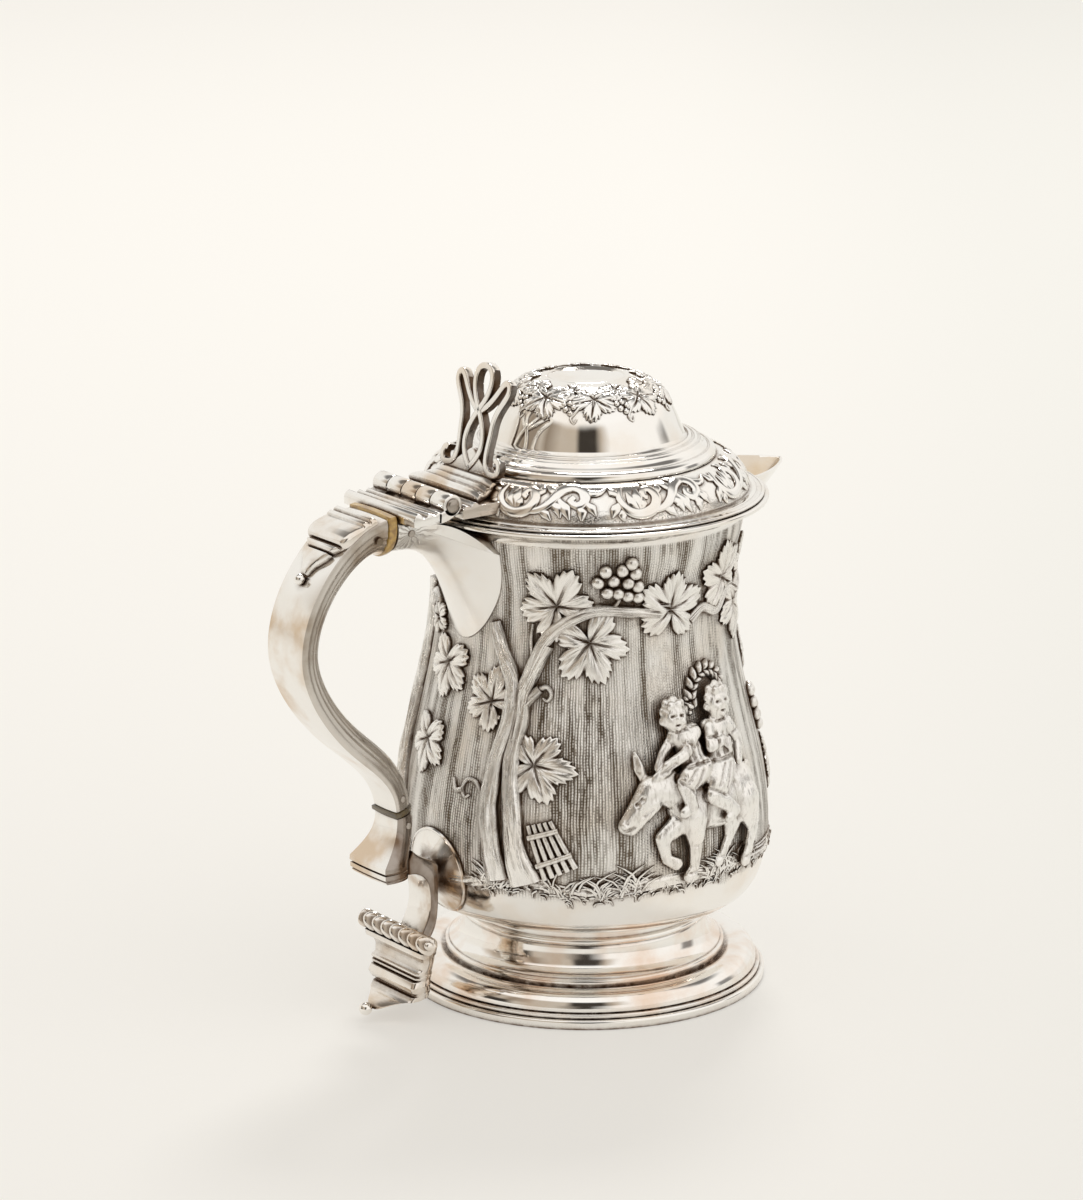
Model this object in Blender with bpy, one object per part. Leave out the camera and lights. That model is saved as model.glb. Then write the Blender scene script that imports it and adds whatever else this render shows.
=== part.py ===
"""A lidded silver tankard with a pouring lip, a hinged lid and an insulated scroll handle.

The bulbous cup stands on a moulded foot. Its axis is upright, the pouring lip points
along +X and the handle along -X. Every length below is in millimetres.
"""
import math

import bmesh
import bpy
from mathutils import Matrix, Vector
from mathutils.geometry import interpolate_bezier

MM = 0.001

# Fit between pieces, and how finely round pieces are divided
GAP = 0.3
ROUND_STEPS = 40
CURVE_STEPS = 6

# Foot
FOOT_RADIUS = 60.0
FOOT_WIRE_HEIGHT = 3.3
FOOT_WIRE_WIDTH = 4.2
FOOT_HEIGHT = 29.8
FOOT_NECK_RADIUS = 40.5
FOOT_STEP_RADIUS = 46.4
FOOT_STEP_HEIGHT = 10.4
FOOT_WALL = 1.4
FOOT_BEAD = 0.9

# Cup
CUP_WALL = 1.2
BELLY_RADIUS = 60.8
BELLY_HEIGHT = 54.5
RIM_RADIUS = 59.8
NECK_INSET = 8.2
WAIST_INSET = 3.6
BASE_INSET = 10.3
RIM_HEIGHT = 165.0
NECK_DROP = 6.5
WAIST_DROP = 27.0
RIM_WIRE_HEIGHT = 1.6
RIM_WIRE_WIDTH = 3.4

# Pouring lip
SPOUT_REACH = 81.5
SPOUT_HALF_WIDTH = 17.0
SPOUT_DEPTH = 24.0
SPOUT_WALL = 1.3

# Lid
LID_WALL = 1.0
LID_BRIM_OVERHANG = 1.5
LID_BRIM_THICKNESS = 1.4
LID_BAND_INSET = 6.5
LID_BAND_RUN = 10.3
LID_BAND_HEIGHT = 11.0
LID_STEP_HEIGHT = 6.3
DOME_INSET = 10.6
DOME_HEIGHT = 19.2
DOME_DISC_RADIUS = 13.0
BEZEL_DEPTH = 6.5
BEZEL_WALL = 1.2
BEZEL_CLEARANCE = 0.9

# Hinge
HINGE_STANDOFF = 7.0
HINGE_RISE = 8.7
HINGE_LENGTH = 40.0
KNUCKLE_COUNT = 5
KNUCKLE_RADIUS = 3.5
KNUCKLE_GAP = 0.4
PIN_RADIUS = 1.3
PIN_CLEARANCE = 0.3
PIN_HEAD_RADIUS = 2.4
PIN_HEAD_HEIGHT = 1.1
LEAF_THICKNESS = 3.4
LEAF_DROP = 5.2
REED_HEIGHT = 0.9
HANDLE_LEAF_LENGTH = 14.6
LID_LEAF_LENGTH = 20.0

# Thumbpiece
THUMB_HEIGHT = 33.6
THUMB_HALF_WIDTH = 14.6
THUMB_LEAN = 12.4
THUMB_STRAP = 1.9
THUMB_DEPTH = 3.6
PAD_THICKNESS = 3.0
PAD_REACH = 10.0
PAD_RISE = 2.4

# Handle
HANDLE_REACH = 117.5
HANDLE_WIDTH_TOP = 22.0
HANDLE_WIDTH_MIDDLE = 20.0
HANDLE_WIDTH_BOTTOM = 13.0
HANDLE_DEPTH_TOP = 13.4
HANDLE_DEPTH_MIDDLE = 10.0
HANDLE_DEPTH_BOTTOM = 7.8
FACE_CROWN = 0.4
COLLAR_THICKNESS = 3.2
COLLAR_PROUD = 0.7
CROSS_PIN_RADIUS = 1.2
SOCKET_FOOTPRINT_HALF_WIDTH = 18.6
SOCKET_TOP_DROP = 4.6
SOCKET_LENGTH = 36.8
CAP_LENGTH = 17.0
CAP_HEIGHT = 3.0
DROP_LENGTH = 8.5
BEAD_RADIUS = 1.8

# Lower end of the handle
LEDGE_HEIGHT = 54.4
LEDGE_HALF_WIDTH = 10.5
LEDGE_STANDOFF = 26.2
LEDGE_THICKNESS = 5.4
LEDGE_GROOVE = 0.9
LOWER_SOCKET_DEPTH = 12.2
LOWER_SOCKET_HEIGHT = 17.0
BRACKET_WIDTH = 13.0
BRACKET_THICKNESS = 3.0
BOSS_HEIGHT = 46.5
BOSS_RADIUS = 14.5
BOSS_STANDOFF = 3.0
BOSS_STEM_RADIUS = 4.6
TERMINAL_TOP = 25.4
TERMINAL_HALF_WIDTH = 17.0
TERMINAL_STANDOFF = 16.6
TERMINAL_HEIGHT = 21.0
TERMINAL_STEP = 1.0
TERMINAL_TIP_REACH = 8.4
TERMINAL_DEPTH = 9.4
GADROON_HALF_LENGTH = 20.0
GADROON_RADIUS = 3.0
GADROON_LOBES = 9
TERMINAL_BEAD_RADIUS = 2.2

# The cup's axis stands off the middle of the whole length by half the uneven reach
AXIS_X = (HANDLE_REACH + FACE_CROWN - SPOUT_REACH) / 2

# Places that follow from the sizes above
CUP_BASE = FOOT_HEIGHT + GAP
LIP_RADIUS = RIM_RADIUS - RIM_WIRE_WIDTH - GAP
NECK_RADIUS = RIM_RADIUS - NECK_INSET
NECK_HEIGHT = RIM_HEIGHT - NECK_DROP
WAIST_HEIGHT = RIM_HEIGHT - WAIST_DROP
WAIST_RADIUS = NECK_RADIUS - WAIST_INSET
LID_BAND_RADIUS = RIM_RADIUS - LID_BAND_INSET
LID_BAND_TOP_RADIUS = LID_BAND_RADIUS - LID_BAND_RUN
DOME_RADIUS = LID_BAND_TOP_RADIUS - DOME_INSET
SOCKET_FOOTPRINT_TOP = RIM_HEIGHT - SOCKET_TOP_DROP
SOCKET_FOOTPRINT_TIP = SOCKET_FOOTPRINT_TOP - SOCKET_LENGTH
LEDGE_REACH = BELLY_RADIUS + LEDGE_STANDOFF
TERMINAL_FRONT = BELLY_RADIUS + TERMINAL_STANDOFF
LID_SEAT = RIM_HEIGHT + GAP
LID_BRIM_RADIUS = RIM_RADIUS - LID_BRIM_OVERHANG
BAND_BASE = LID_SEAT + LID_BRIM_THICKNESS
BAND_TOP = BAND_BASE + LID_BAND_HEIGHT
STEP_BASE = BAND_TOP + GAP
DOME_BASE = STEP_BASE + LID_STEP_HEIGHT
HINGE_X = -(RIM_RADIUS + HINGE_STANDOFF)
HINGE_Z = RIM_HEIGHT + HINGE_RISE
LEAF_BOTTOM = HINGE_Z - LEAF_DROP
KNUCKLE_LENGTH = HINGE_LENGTH / KNUCKLE_COUNT
COLLAR_X = HINGE_X - KNUCKLE_RADIUS - 0.825 * HANDLE_LEAF_LENGTH

SILVER = (0.84, 0.82, 0.78, 1.0)
WORN_SILVER = (0.72, 0.68, 0.62, 1.0)
AMBER = (0.66, 0.46, 0.20, 1.0)


def clear_scene():
    for item in list(bpy.data.objects):
        bpy.data.objects.remove(item, do_unlink=True)


def empty(name, place, parent=None):
    """An empty that carries pieces, placed in millimetres."""
    item = bpy.data.objects.new(name, None)
    bpy.context.collection.objects.link(item)
    item.parent = parent
    item.location = Vector(place) * MM
    return item


def material(name, colour, roughness, metallic):
    surface = bpy.data.materials.new(name)
    surface.use_nodes = True
    shader = surface.node_tree.nodes["Principled BSDF"]
    shader.inputs["Base Color"].default_value = colour
    shader.inputs["Roughness"].default_value = roughness
    shader.inputs["Metallic"].default_value = metallic
    return surface


def piece(name, mesh_data, carrier, colour=SILVER, roughness=0.2, metallic=1.0, offset=(0, 0, 0)):
    """Turn a bmesh drawn in millimetres into a named, shaded object on its carrier."""
    bmesh.ops.remove_doubles(mesh_data, verts=mesh_data.verts, dist=1e-4)
    bmesh.ops.recalc_face_normals(mesh_data, faces=mesh_data.faces)
    bmesh.ops.scale(mesh_data, vec=(MM, MM, MM), verts=mesh_data.verts)
    mesh = bpy.data.meshes.new(name)
    mesh_data.to_mesh(mesh)
    mesh_data.free()
    mesh.shade_smooth()
    mesh.set_sharp_from_angle(angle=math.radians(35))
    mesh.materials.append(material(name + "_finish", colour, roughness, metallic))
    item = bpy.data.objects.new(name, mesh)
    bpy.context.collection.objects.link(item)
    item.parent = carrier
    item.location = Vector(offset) * MM
    return item


def tool(mesh_data, carrier, name, offset=(0, 0, 0)):
    """A cutter or an added body, left out of the finished part."""
    item = piece(name, mesh_data, carrier, offset=offset)
    item.hide_render = True
    item.display_type = "WIRE"
    return item


def combine(target, other, operation, own_overlaps=False):
    step = target.modifiers.new(other.name, "BOOLEAN")
    step.operation = operation
    step.solver = "EXACT"
    step.use_self = own_overlaps
    step.object = other
    return target


def curve(start, lead_out, lead_in, end, steps=CURVE_STEPS):
    """Points of a Bezier curve between two flat points, both ends included."""
    knots = [Vector((p[0], p[1], 0.0)) for p in (start, lead_out, lead_in, end)]
    return [(p.x, p.y) for p in interpolate_bezier(*knots, steps + 1)]


def blend(low, high, share):
    return low + (high - low) * share


def offset_line(points, distance):
    """Shift a flat line sideways, to the left of its direction."""
    shifted = []
    for index, point in enumerate(points):
        before = Vector(points[max(index - 1, 0)])
        after = Vector(points[min(index + 1, len(points) - 1)])
        along = (after - before).normalized()
        shifted.append((point[0] - along.y * distance, point[1] + along.x * distance))
    return shifted


def turned(profile, steps=ROUND_STEPS, closed=True):
    """Spin a profile of (radius, height) points about the upright axis."""
    shape = bmesh.new()
    points = [shape.verts.new((r, 0.0, z)) for r, z in profile]
    edges = [shape.edges.new(pair) for pair in zip(points, points[1:])]
    if closed:
        edges.append(shape.edges.new((points[-1], points[0])))
    bmesh.ops.spin(shape, geom=edges, cent=(0, 0, 0), axis=(0, 0, 1), angle=math.tau,
                   steps=steps, use_merge=True)
    bmesh.ops.remove_doubles(shape, verts=shape.verts, dist=1e-4)
    return shape


def lofted(sections):
    """Skin a row of closed loops that all have the same number of points."""
    shape = bmesh.new()
    loops = [[shape.verts.new(p) for p in section] for section in sections]
    count = len(loops[0])
    for lower, upper in zip(loops, loops[1:]):
        for index in range(count):
            following = (index + 1) % count
            shape.faces.new((lower[index], lower[following], upper[following], upper[index]))
    shape.faces.new(loops[0])
    shape.faces.new(list(reversed(loops[-1])))
    return shape


def slab(outline, low, high, place=None):
    """Extrude an (x, z) outline along Y from low to high, or along the frame given."""
    shape = bmesh.new()
    face = shape.faces.new([shape.verts.new((x, low, z)) for x, z in outline])
    raised = bmesh.ops.extrude_face_region(shape, geom=[face])["geom"]
    moved = [item for item in raised if isinstance(item, bmesh.types.BMVert)]
    bmesh.ops.translate(shape, verts=moved, vec=(0.0, high - low, 0.0))
    if place is not None:
        bmesh.ops.transform(shape, matrix=place, verts=shape.verts)
    return shape


def rod_along_y(radius, low, high, x, z, sides=16):
    shape = bmesh.new()
    turn = Matrix.Translation((x, (low + high) / 2, z)) @ Matrix.Rotation(math.pi / 2, 4, "X")
    bmesh.ops.create_cone(shape, cap_ends=True, segments=sides, radius1=radius, radius2=radius,
                          depth=high - low, matrix=turn)
    return shape


def ball(radius, place):
    shape = bmesh.new()
    bmesh.ops.create_uvsphere(shape, u_segments=12, v_segments=8, radius=radius,
                              matrix=Matrix.Translation(place))
    return shape


# The cup's outer line from its base up to the flare under the rim

def cup_line(steps=CURVE_STEPS):
    flare_top = RIM_HEIGHT - RIM_WIRE_HEIGHT - GAP
    base = curve((BELLY_RADIUS - BASE_INSET, CUP_BASE),
                 (BELLY_RADIUS - 0.32 * BASE_INSET, blend(CUP_BASE, BELLY_HEIGHT, 0.06)),
                 (BELLY_RADIUS, blend(BELLY_HEIGHT, CUP_BASE, 0.51)), (BELLY_RADIUS, BELLY_HEIGHT), steps)
    side = curve((BELLY_RADIUS, BELLY_HEIGHT), (BELLY_RADIUS, blend(BELLY_HEIGHT, WAIST_HEIGHT, 0.33)),
                 (WAIST_RADIUS, blend(WAIST_HEIGHT, BELLY_HEIGHT, 0.41)), (WAIST_RADIUS, WAIST_HEIGHT),
                 steps + 1)
    neck = curve((WAIST_RADIUS, WAIST_HEIGHT), (WAIST_RADIUS, blend(WAIST_HEIGHT, NECK_HEIGHT, 0.39)),
                 (NECK_RADIUS - 0.08 * WAIST_INSET, blend(NECK_HEIGHT, WAIST_HEIGHT, 0.32)),
                 (NECK_RADIUS, NECK_HEIGHT), steps - 2)
    flare = curve((NECK_RADIUS, NECK_HEIGHT),
                  (blend(NECK_RADIUS, LIP_RADIUS, 0.07), blend(NECK_HEIGHT, flare_top, 0.52)),
                  (blend(NECK_RADIUS, LIP_RADIUS, 0.64), blend(flare_top, NECK_HEIGHT, 0.2)),
                  (LIP_RADIUS, flare_top), steps - 2)
    return base + side[1:] + neck[1:] + flare[1:] + [(LIP_RADIUS, RIM_HEIGHT)]


def cup_radius(height):
    """The cup's outer radius at a height, read off its line."""
    line = cup_line(24)
    for (low_r, low_z), (high_r, high_z) in zip(line, line[1:]):
        if low_z <= height <= high_z:
            share = (height - low_z) / max(high_z - low_z, 1e-6)
            return low_r + share * (high_r - low_r)
    return line[0][0] if height < line[0][1] else line[-1][0]


def height_at(line, radius):
    """The height where a line that closes in as it climbs reaches a radius."""
    for (low_r, low_z), (high_r, high_z) in zip(line, line[1:]):
        if high_r <= radius <= low_r:
            return low_z + (high_z - low_z) * (low_r - radius) / max(low_r - high_r, 1e-6)
    return line[-1][1]


def on_cup(y, height, standoff):
    """A point that stands off the cup on its handle side."""
    radius = cup_radius(height) + standoff
    return (-math.sqrt(max(radius * radius - y * y, 1.0)), y, height)


def band_line(steps=CURVE_STEPS):
    """The lid's ornamented band, from its brim up to its shoulder."""
    return curve((LID_BAND_RADIUS, BAND_BASE),
                 (LID_BAND_RADIUS - 0.06 * LID_BAND_RUN, blend(BAND_BASE, BAND_TOP, 0.45)),
                 (LID_BAND_TOP_RADIUS + 0.53 * LID_BAND_RUN, blend(BAND_TOP, BAND_BASE, 0.11)),
                 (LID_BAND_TOP_RADIUS, BAND_TOP), steps)


def make_foot(carrier):
    """The spreading foot: collar beads, a hollow neck, a step and a domed edge."""
    neck = FOOT_NECK_RADIUS
    step = FOOT_STEP_RADIUS
    seat = FOOT_WIRE_HEIGHT + GAP
    collar = [(neck, FOOT_HEIGHT), (neck + FOOT_BEAD, FOOT_HEIGHT - 0.6),
              (neck + FOOT_BEAD, FOOT_HEIGHT - 1.9),
              (neck, FOOT_HEIGHT - 2.5), (neck, FOOT_HEIGHT - 4.9), (neck + FOOT_BEAD, FOOT_HEIGHT - 5.4),
              (neck + FOOT_BEAD, FOOT_HEIGHT - 7.2), (neck, FOOT_HEIGHT - 7.8)]
    hollow = curve((neck, FOOT_HEIGHT - 7.8), (neck + 0.2, FOOT_HEIGHT - 13.0),
                   (step - 4.0, FOOT_STEP_HEIGHT + 3.8), (step - 1.0, FOOT_STEP_HEIGHT + 2.6))
    ledge = [(step, FOOT_STEP_HEIGHT + 2.2), (step, FOOT_STEP_HEIGHT)]
    edge = FOOT_RADIUS - 2.8
    dome = curve((step + 0.9, FOOT_STEP_HEIGHT - 0.5), (step + 4.0, FOOT_STEP_HEIGHT + 1.3),
                 (edge - 0.4, FOOT_STEP_HEIGHT + 1.3), (edge, seat + 2.0))
    outer = collar + hollow[1:] + ledge + dome + [(edge + 1.2, seat + 1.5), (edge + 1.2, seat)]
    inner_top = [(neck - FOOT_WALL, FOOT_HEIGHT), (neck - FOOT_WALL, FOOT_HEIGHT - 8.0)]
    inner_low = [(step - 1.0 - FOOT_WALL, FOOT_STEP_HEIGHT + 1.0), (step - FOOT_WALL, FOOT_STEP_HEIGHT - 2.2),
                 (edge - 3.0, FOOT_STEP_HEIGHT - 1.6), (edge - FOOT_WALL, seat)]
    piece("foot", turned(outer + list(reversed(inner_top + inner_low))), carrier)


def make_foot_wire(carrier):
    """The stout wire soldered under the foot's edge, which the tankard stands on."""
    inner = FOOT_RADIUS - FOOT_WIRE_WIDTH
    round_off = 0.5
    profile = [(inner, 0.0), (FOOT_RADIUS - round_off, 0.0), (FOOT_RADIUS, round_off),
               (FOOT_RADIUS, FOOT_WIRE_HEIGHT - round_off), (FOOT_RADIUS - round_off, FOOT_WIRE_HEIGHT),
               (inner, FOOT_WIRE_HEIGHT)]
    piece("foot_wire", turned(list(reversed(profile))), carrier)


def spout_notch(carrier, name):
    """A wedge that opens the cup's wall and rim behind the pouring lip."""
    half = SPOUT_HALF_WIDTH - 3.0
    top = RIM_HEIGHT + 5.0
    low = RIM_HEIGHT - SPOUT_DEPTH + 5.0
    outline = [(-half, top), (half, top), (half, RIM_HEIGHT - 3.0), (0.0, low), (-half, RIM_HEIGHT - 3.0)]
    quarter = Matrix.Rotation(-math.pi / 2, 4, "Z")
    wedge = slab(outline, WAIST_RADIUS - 10.0, RIM_RADIUS + 3.0, quarter)
    return tool(wedge, carrier, name)


def make_cup(carrier):
    """The raised cup, one skin from its flat base to the flare under the rim."""
    outer = cup_line()
    inner = offset_line(outer, CUP_WALL)
    inner = inner[:2] + inner[2:-3:2] + inner[-3:]
    inner[0] = (outer[0][0] - 0.4, CUP_BASE + CUP_WALL)
    inner[-1] = (LIP_RADIUS - CUP_WALL, RIM_HEIGHT)
    profile = [(0.0, CUP_BASE)] + outer + list(reversed(inner)) + [(0.0, CUP_BASE + CUP_WALL)]
    cup = piece("cup", turned(profile, closed=False), carrier)
    combine(cup, spout_notch(carrier, "cup_notch"), "DIFFERENCE")


def make_rim(carrier):
    """The drawn wire that stiffens the rim, cut through at the pouring lip."""
    low = RIM_HEIGHT - RIM_WIRE_HEIGHT
    inner = RIM_RADIUS - RIM_WIRE_WIDTH
    profile = [(inner, low), (inner, RIM_HEIGHT), (RIM_RADIUS - 0.6, RIM_HEIGHT),
               (RIM_RADIUS, RIM_HEIGHT - RIM_WIRE_HEIGHT / 2), (RIM_RADIUS - 0.6, low)]
    rim = piece("rim_wire", turned(profile), carrier)
    combine(rim, spout_notch(carrier, "rim_notch"), "DIFFERENCE")


def cup_envelope(carrier, name):
    """The cup and rim, grown by the gap, as a solid to cut neighbours with."""
    line = [(r + GAP, z) for r, z in cup_line()[:-1]]
    edge = RIM_RADIUS + GAP
    top = RIM_HEIGHT + 8.0
    rim = [(edge, RIM_HEIGHT - RIM_WIRE_HEIGHT - GAP), (edge, top), (0.0, top)]
    profile = [(0.0, CUP_BASE)] + line + rim
    return tool(turned(profile, closed=False), carrier, name)


def spout_solid(half, depth, reach, top):
    """A beak: a wedge from the cup's wall, drawn out to the tip."""
    root_x = WAIST_RADIUS - 4.0
    keel = RIM_HEIGHT - depth
    sections = []
    for share in (0.0, 0.35, 0.62, 0.82, 0.94, 1.0):
        x = root_x + (reach - root_x) * share
        spread = max(half * (1.0 - max(x - RIM_RADIUS + 2.0, 0.0) / (reach - RIM_RADIUS + 2.0)), 0.25)
        low = keel + (top - 1.2 - keel) * share ** 1.7
        sections.append([(x, -spread, top), (x, -spread * 0.45, low + (top - low) * 0.42), (x, 0.0, low),
                         (x, spread * 0.45, low + (top - low) * 0.42), (x, spread, top)])
    return lofted(sections)


def make_spout(carrier):
    """The beak let into the rim, open above and open to the cup behind it."""
    top = RIM_HEIGHT - 0.4
    spout = piece("spout", spout_solid(SPOUT_HALF_WIDTH, SPOUT_DEPTH, SPOUT_REACH, top), carrier)
    hollow = spout_solid(SPOUT_HALF_WIDTH - SPOUT_WALL * 1.2, SPOUT_DEPTH - SPOUT_WALL * 2.0,
                         SPOUT_REACH - SPOUT_WALL * 2.2, top + 3.0)
    combine(spout, tool(hollow, carrier, "spout_hollow"), "DIFFERENCE")
    combine(spout, cup_envelope(carrier, "spout_seat"), "DIFFERENCE")


def make_lid(carrier, offset):
    """The lid: a stepped brim and band, a domed top on its shoulder, and a locating bezel."""
    brim = [(blend(LID_BRIM_RADIUS, LID_BAND_RADIUS, out), LID_SEAT + up * LID_BRIM_THICKNESS)
            for out, up in ((0.0, 0.0), (0.0, 0.36), (0.2, 0.57), (0.52, 0.57), (0.58, 0.86))]
    band = band_line()
    inside = offset_line(band, LID_WALL)
    inside[0] = (LID_BAND_RADIUS - 1.4, LID_SEAT)
    inside[-1] = (LID_BAND_TOP_RADIUS - 0.2, BAND_TOP - LID_WALL)
    flange = brim + band + [(LID_BAND_TOP_RADIUS - 2.6, BAND_TOP),
                            (LID_BAND_TOP_RADIUS - 2.6, BAND_TOP - LID_WALL)]
    piece("lid_flange", turned(flange + list(reversed(inside))), carrier, offset=offset)

    shoulder = LID_BAND_TOP_RADIUS - 0.6
    steps = [(blend(shoulder, DOME_RADIUS, inward), STEP_BASE + up * LID_STEP_HEIGHT)
             for inward, up in ((0.0, 0.0), (0.0, 0.13), (0.05, 0.3), (0.2, 0.44), (0.29, 0.5), (0.42, 0.62),
                                (0.52, 0.82), (0.63, 0.86), (0.66, 0.97))]
    top = DOME_BASE + DOME_HEIGHT
    run = DOME_RADIUS - DOME_DISC_RADIUS
    dome = curve((DOME_RADIUS, DOME_BASE), (DOME_RADIUS - 0.2 * run, blend(DOME_BASE, top, 0.44)),
                 (DOME_RADIUS - 0.3 * run, blend(top, DOME_BASE, 0.08)), (DOME_DISC_RADIUS, top),
                 CURVE_STEPS + 2)
    outer = steps + dome + [(DOME_DISC_RADIUS - 0.8, top - 0.3), (0.0, top + 0.4)]
    under = offset_line(dome, LID_WALL)
    inner = [(blend(shoulder, DOME_RADIUS, 0.2), STEP_BASE),
             (blend(shoulder, DOME_RADIUS, 0.54), STEP_BASE + 0.3 * LID_STEP_HEIGHT),
             (DOME_RADIUS - LID_WALL, DOME_BASE - 0.8)] + under[1:-1] + [(0.0, top - LID_WALL)]
    piece("lid_dome", turned(outer + list(reversed(inner)), closed=True), carrier, offset=offset)

    bezel_low = RIM_HEIGHT - BEZEL_DEPTH
    bezel_outer = cup_radius(bezel_low) - CUP_WALL - BEZEL_CLEARANCE
    bezel_inner = bezel_outer - BEZEL_WALL
    bezel = [(bezel_inner, bezel_low), (bezel_outer, bezel_low),
             (bezel_outer, height_at(inside, bezel_outer) - GAP),
             (bezel_inner, height_at(inside, bezel_inner) - GAP)]
    piece("lid_bezel", turned(bezel), carrier, offset=offset)


def knuckle_span(index):
    """The stretch of the hinge barrel that one knuckle takes, with its running gap."""
    low = -HINGE_LENGTH / 2 + index * KNUCKLE_LENGTH + KNUCKLE_GAP / 2
    return low, low + KNUCKLE_LENGTH - KNUCKLE_GAP


def add_knuckles(leaf, carrier, indexes, arm_x, offset):
    """Join knuckles to a leaf and drill them for the pin."""
    for index in indexes:
        low, high = knuckle_span(index)
        barrel = rod_along_y(KNUCKLE_RADIUS, low, high, HINGE_X, HINGE_Z, 20)
        combine(leaf, tool(barrel, carrier, f"{leaf.name}_knuckle_{index}", offset), "UNION")
        near, far = sorted((HINGE_X, arm_x))
        arm = slab([(near, LEAF_BOTTOM + 0.9), (far, LEAF_BOTTOM + 0.9), (far, HINGE_Z - 1.9),
                    (near, HINGE_Z - 1.9)],
                   low, high)
        combine(leaf, tool(arm, carrier, f"{leaf.name}_arm_{index}", offset), "UNION")
    bore = rod_along_y(PIN_RADIUS + PIN_CLEARANCE, -HINGE_LENGTH, HINGE_LENGTH, HINGE_X, HINGE_Z)
    combine(leaf, tool(bore, carrier, leaf.name + "_bore", offset), "DIFFERENCE")


def reed(x_low, x_high, height, rise):
    """Three points of a small rounded moulding on a leaf's top."""
    middle = (x_low + x_high) / 2
    quarter = (x_high - x_low) / 4
    return [(x_low, height), (middle - quarter, height + rise), (middle + quarter, height + rise),
            (x_high, height)]


def make_handle_leaf(carrier):
    """The hinge leaf on the handle: a reeded block with the outer and middle knuckles."""
    right = HINGE_X - KNUCKLE_RADIUS - 0.6
    left = right - 0.72 * HANDLE_LEAF_LENGTH
    top = LEAF_BOTTOM + LEAF_THICKNESS
    third = (right - left) / 3
    outline = [(left, LEAF_BOTTOM), (right, LEAF_BOTTOM), (right, top)]
    for index in (2, 1, 0):
        x_low = left + index * third
        outline += list(reversed(reed(x_low, x_low + 0.85 * third, top - 0.8 * REED_HEIGHT, REED_HEIGHT)))
    half = HINGE_LENGTH / 2 - KNUCKLE_GAP / 2
    leaf = piece("handle_hinge_leaf", slab(outline, -half, half), carrier)
    add_knuckles(leaf, carrier, range(0, KNUCKLE_COUNT, 2), right - 1.0, (0, 0, 0))


def lid_envelope(carrier, name, offset):
    """The lid's band and shoulder grown by the gap, to seat the hinge leaf on."""
    band = [(r + GAP, z + GAP) for r, z in band_line()]
    profile = [(0.0, LID_SEAT), (LID_BRIM_RADIUS + 1.0, LID_SEAT),
               (LID_BRIM_RADIUS + 1.0, LID_SEAT + 1.2 + GAP),
               (LID_BAND_RADIUS + GAP, BAND_BASE + GAP)] + band[1:]
    crown = DOME_BASE + 2.0
    profile += [(LID_BAND_TOP_RADIUS + GAP, crown), (0.0, crown)]
    return tool(turned(profile, closed=False), carrier, name, offset)


def make_lid_leaf(carrier, offset):
    """The hinge leaf on the lid: two reeds behind the barrel, run out over the band."""
    left = HINGE_X + KNUCKLE_RADIUS + 0.6
    right = left + LID_LEAF_LENGTH
    top = LEAF_BOTTOM + LEAF_THICKNESS
    outline = [(left, LEAF_BOTTOM), (right, LEAF_BOTTOM), (right, top + 0.45 * REED_HEIGHT)]
    outline += list(reversed(reed(left + 0.17 * LID_LEAF_LENGTH, left + 0.3 * LID_LEAF_LENGTH,
                                  top + 0.6 * REED_HEIGHT, REED_HEIGHT)))
    outline += list(reversed(reed(left + 0.02 * LID_LEAF_LENGTH, left + 0.15 * LID_LEAF_LENGTH, top,
                                  REED_HEIGHT)))
    outline += [(left, top)]
    half = HINGE_LENGTH / 2 - KNUCKLE_GAP / 2
    leaf = piece("lid_hinge_leaf", slab(outline, -half, half), carrier, offset=offset)
    combine(leaf, lid_envelope(carrier, "lid_leaf_seat", offset), "DIFFERENCE")
    add_knuckles(leaf, carrier, range(1, KNUCKLE_COUNT, 2), left + 1.0, offset)


def make_hinge_pin(carrier):
    """The hinge pin with a domed head at each end of the barrel."""
    half = HINGE_LENGTH / 2
    shaft = rod_along_y(PIN_RADIUS, -half - 0.5, half + 0.5, HINGE_X, HINGE_Z, 12)
    pin = piece("hinge_pin", shaft, carrier, WORN_SILVER, 0.3)
    for side in (-1, 1):
        start = half + GAP - KNUCKLE_GAP / 2
        head = bmesh.new()
        place = Matrix.Translation((HINGE_X, side * (start + PIN_HEAD_HEIGHT / 2), HINGE_Z))
        bmesh.ops.create_cone(head, cap_ends=True, segments=16, radius1=PIN_HEAD_RADIUS,
                              radius2=PIN_HEAD_RADIUS * 0.75, depth=PIN_HEAD_HEIGHT,
                              matrix=place @ Matrix.Rotation(-side * math.pi / 2, 4, "X"))
        combine(pin, tool(head, carrier, f"pin_head_{side + 1}"), "UNION")


# The thumbpiece stands on the upper edge of its pad, and leans over the lid

PAD_SEAT = LEAF_BOTTOM + LEAF_THICKNESS + 1.8 * REED_HEIGHT + GAP
PAD_FOOT_X = HINGE_X + KNUCKLE_RADIUS + 6.6
PAD_FOOT_Z = PAD_SEAT + 1.3
PAD_TOP_X = PAD_FOOT_X + PAD_REACH
PAD_TOP_Z = PAD_FOOT_Z + PAD_RISE


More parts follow.
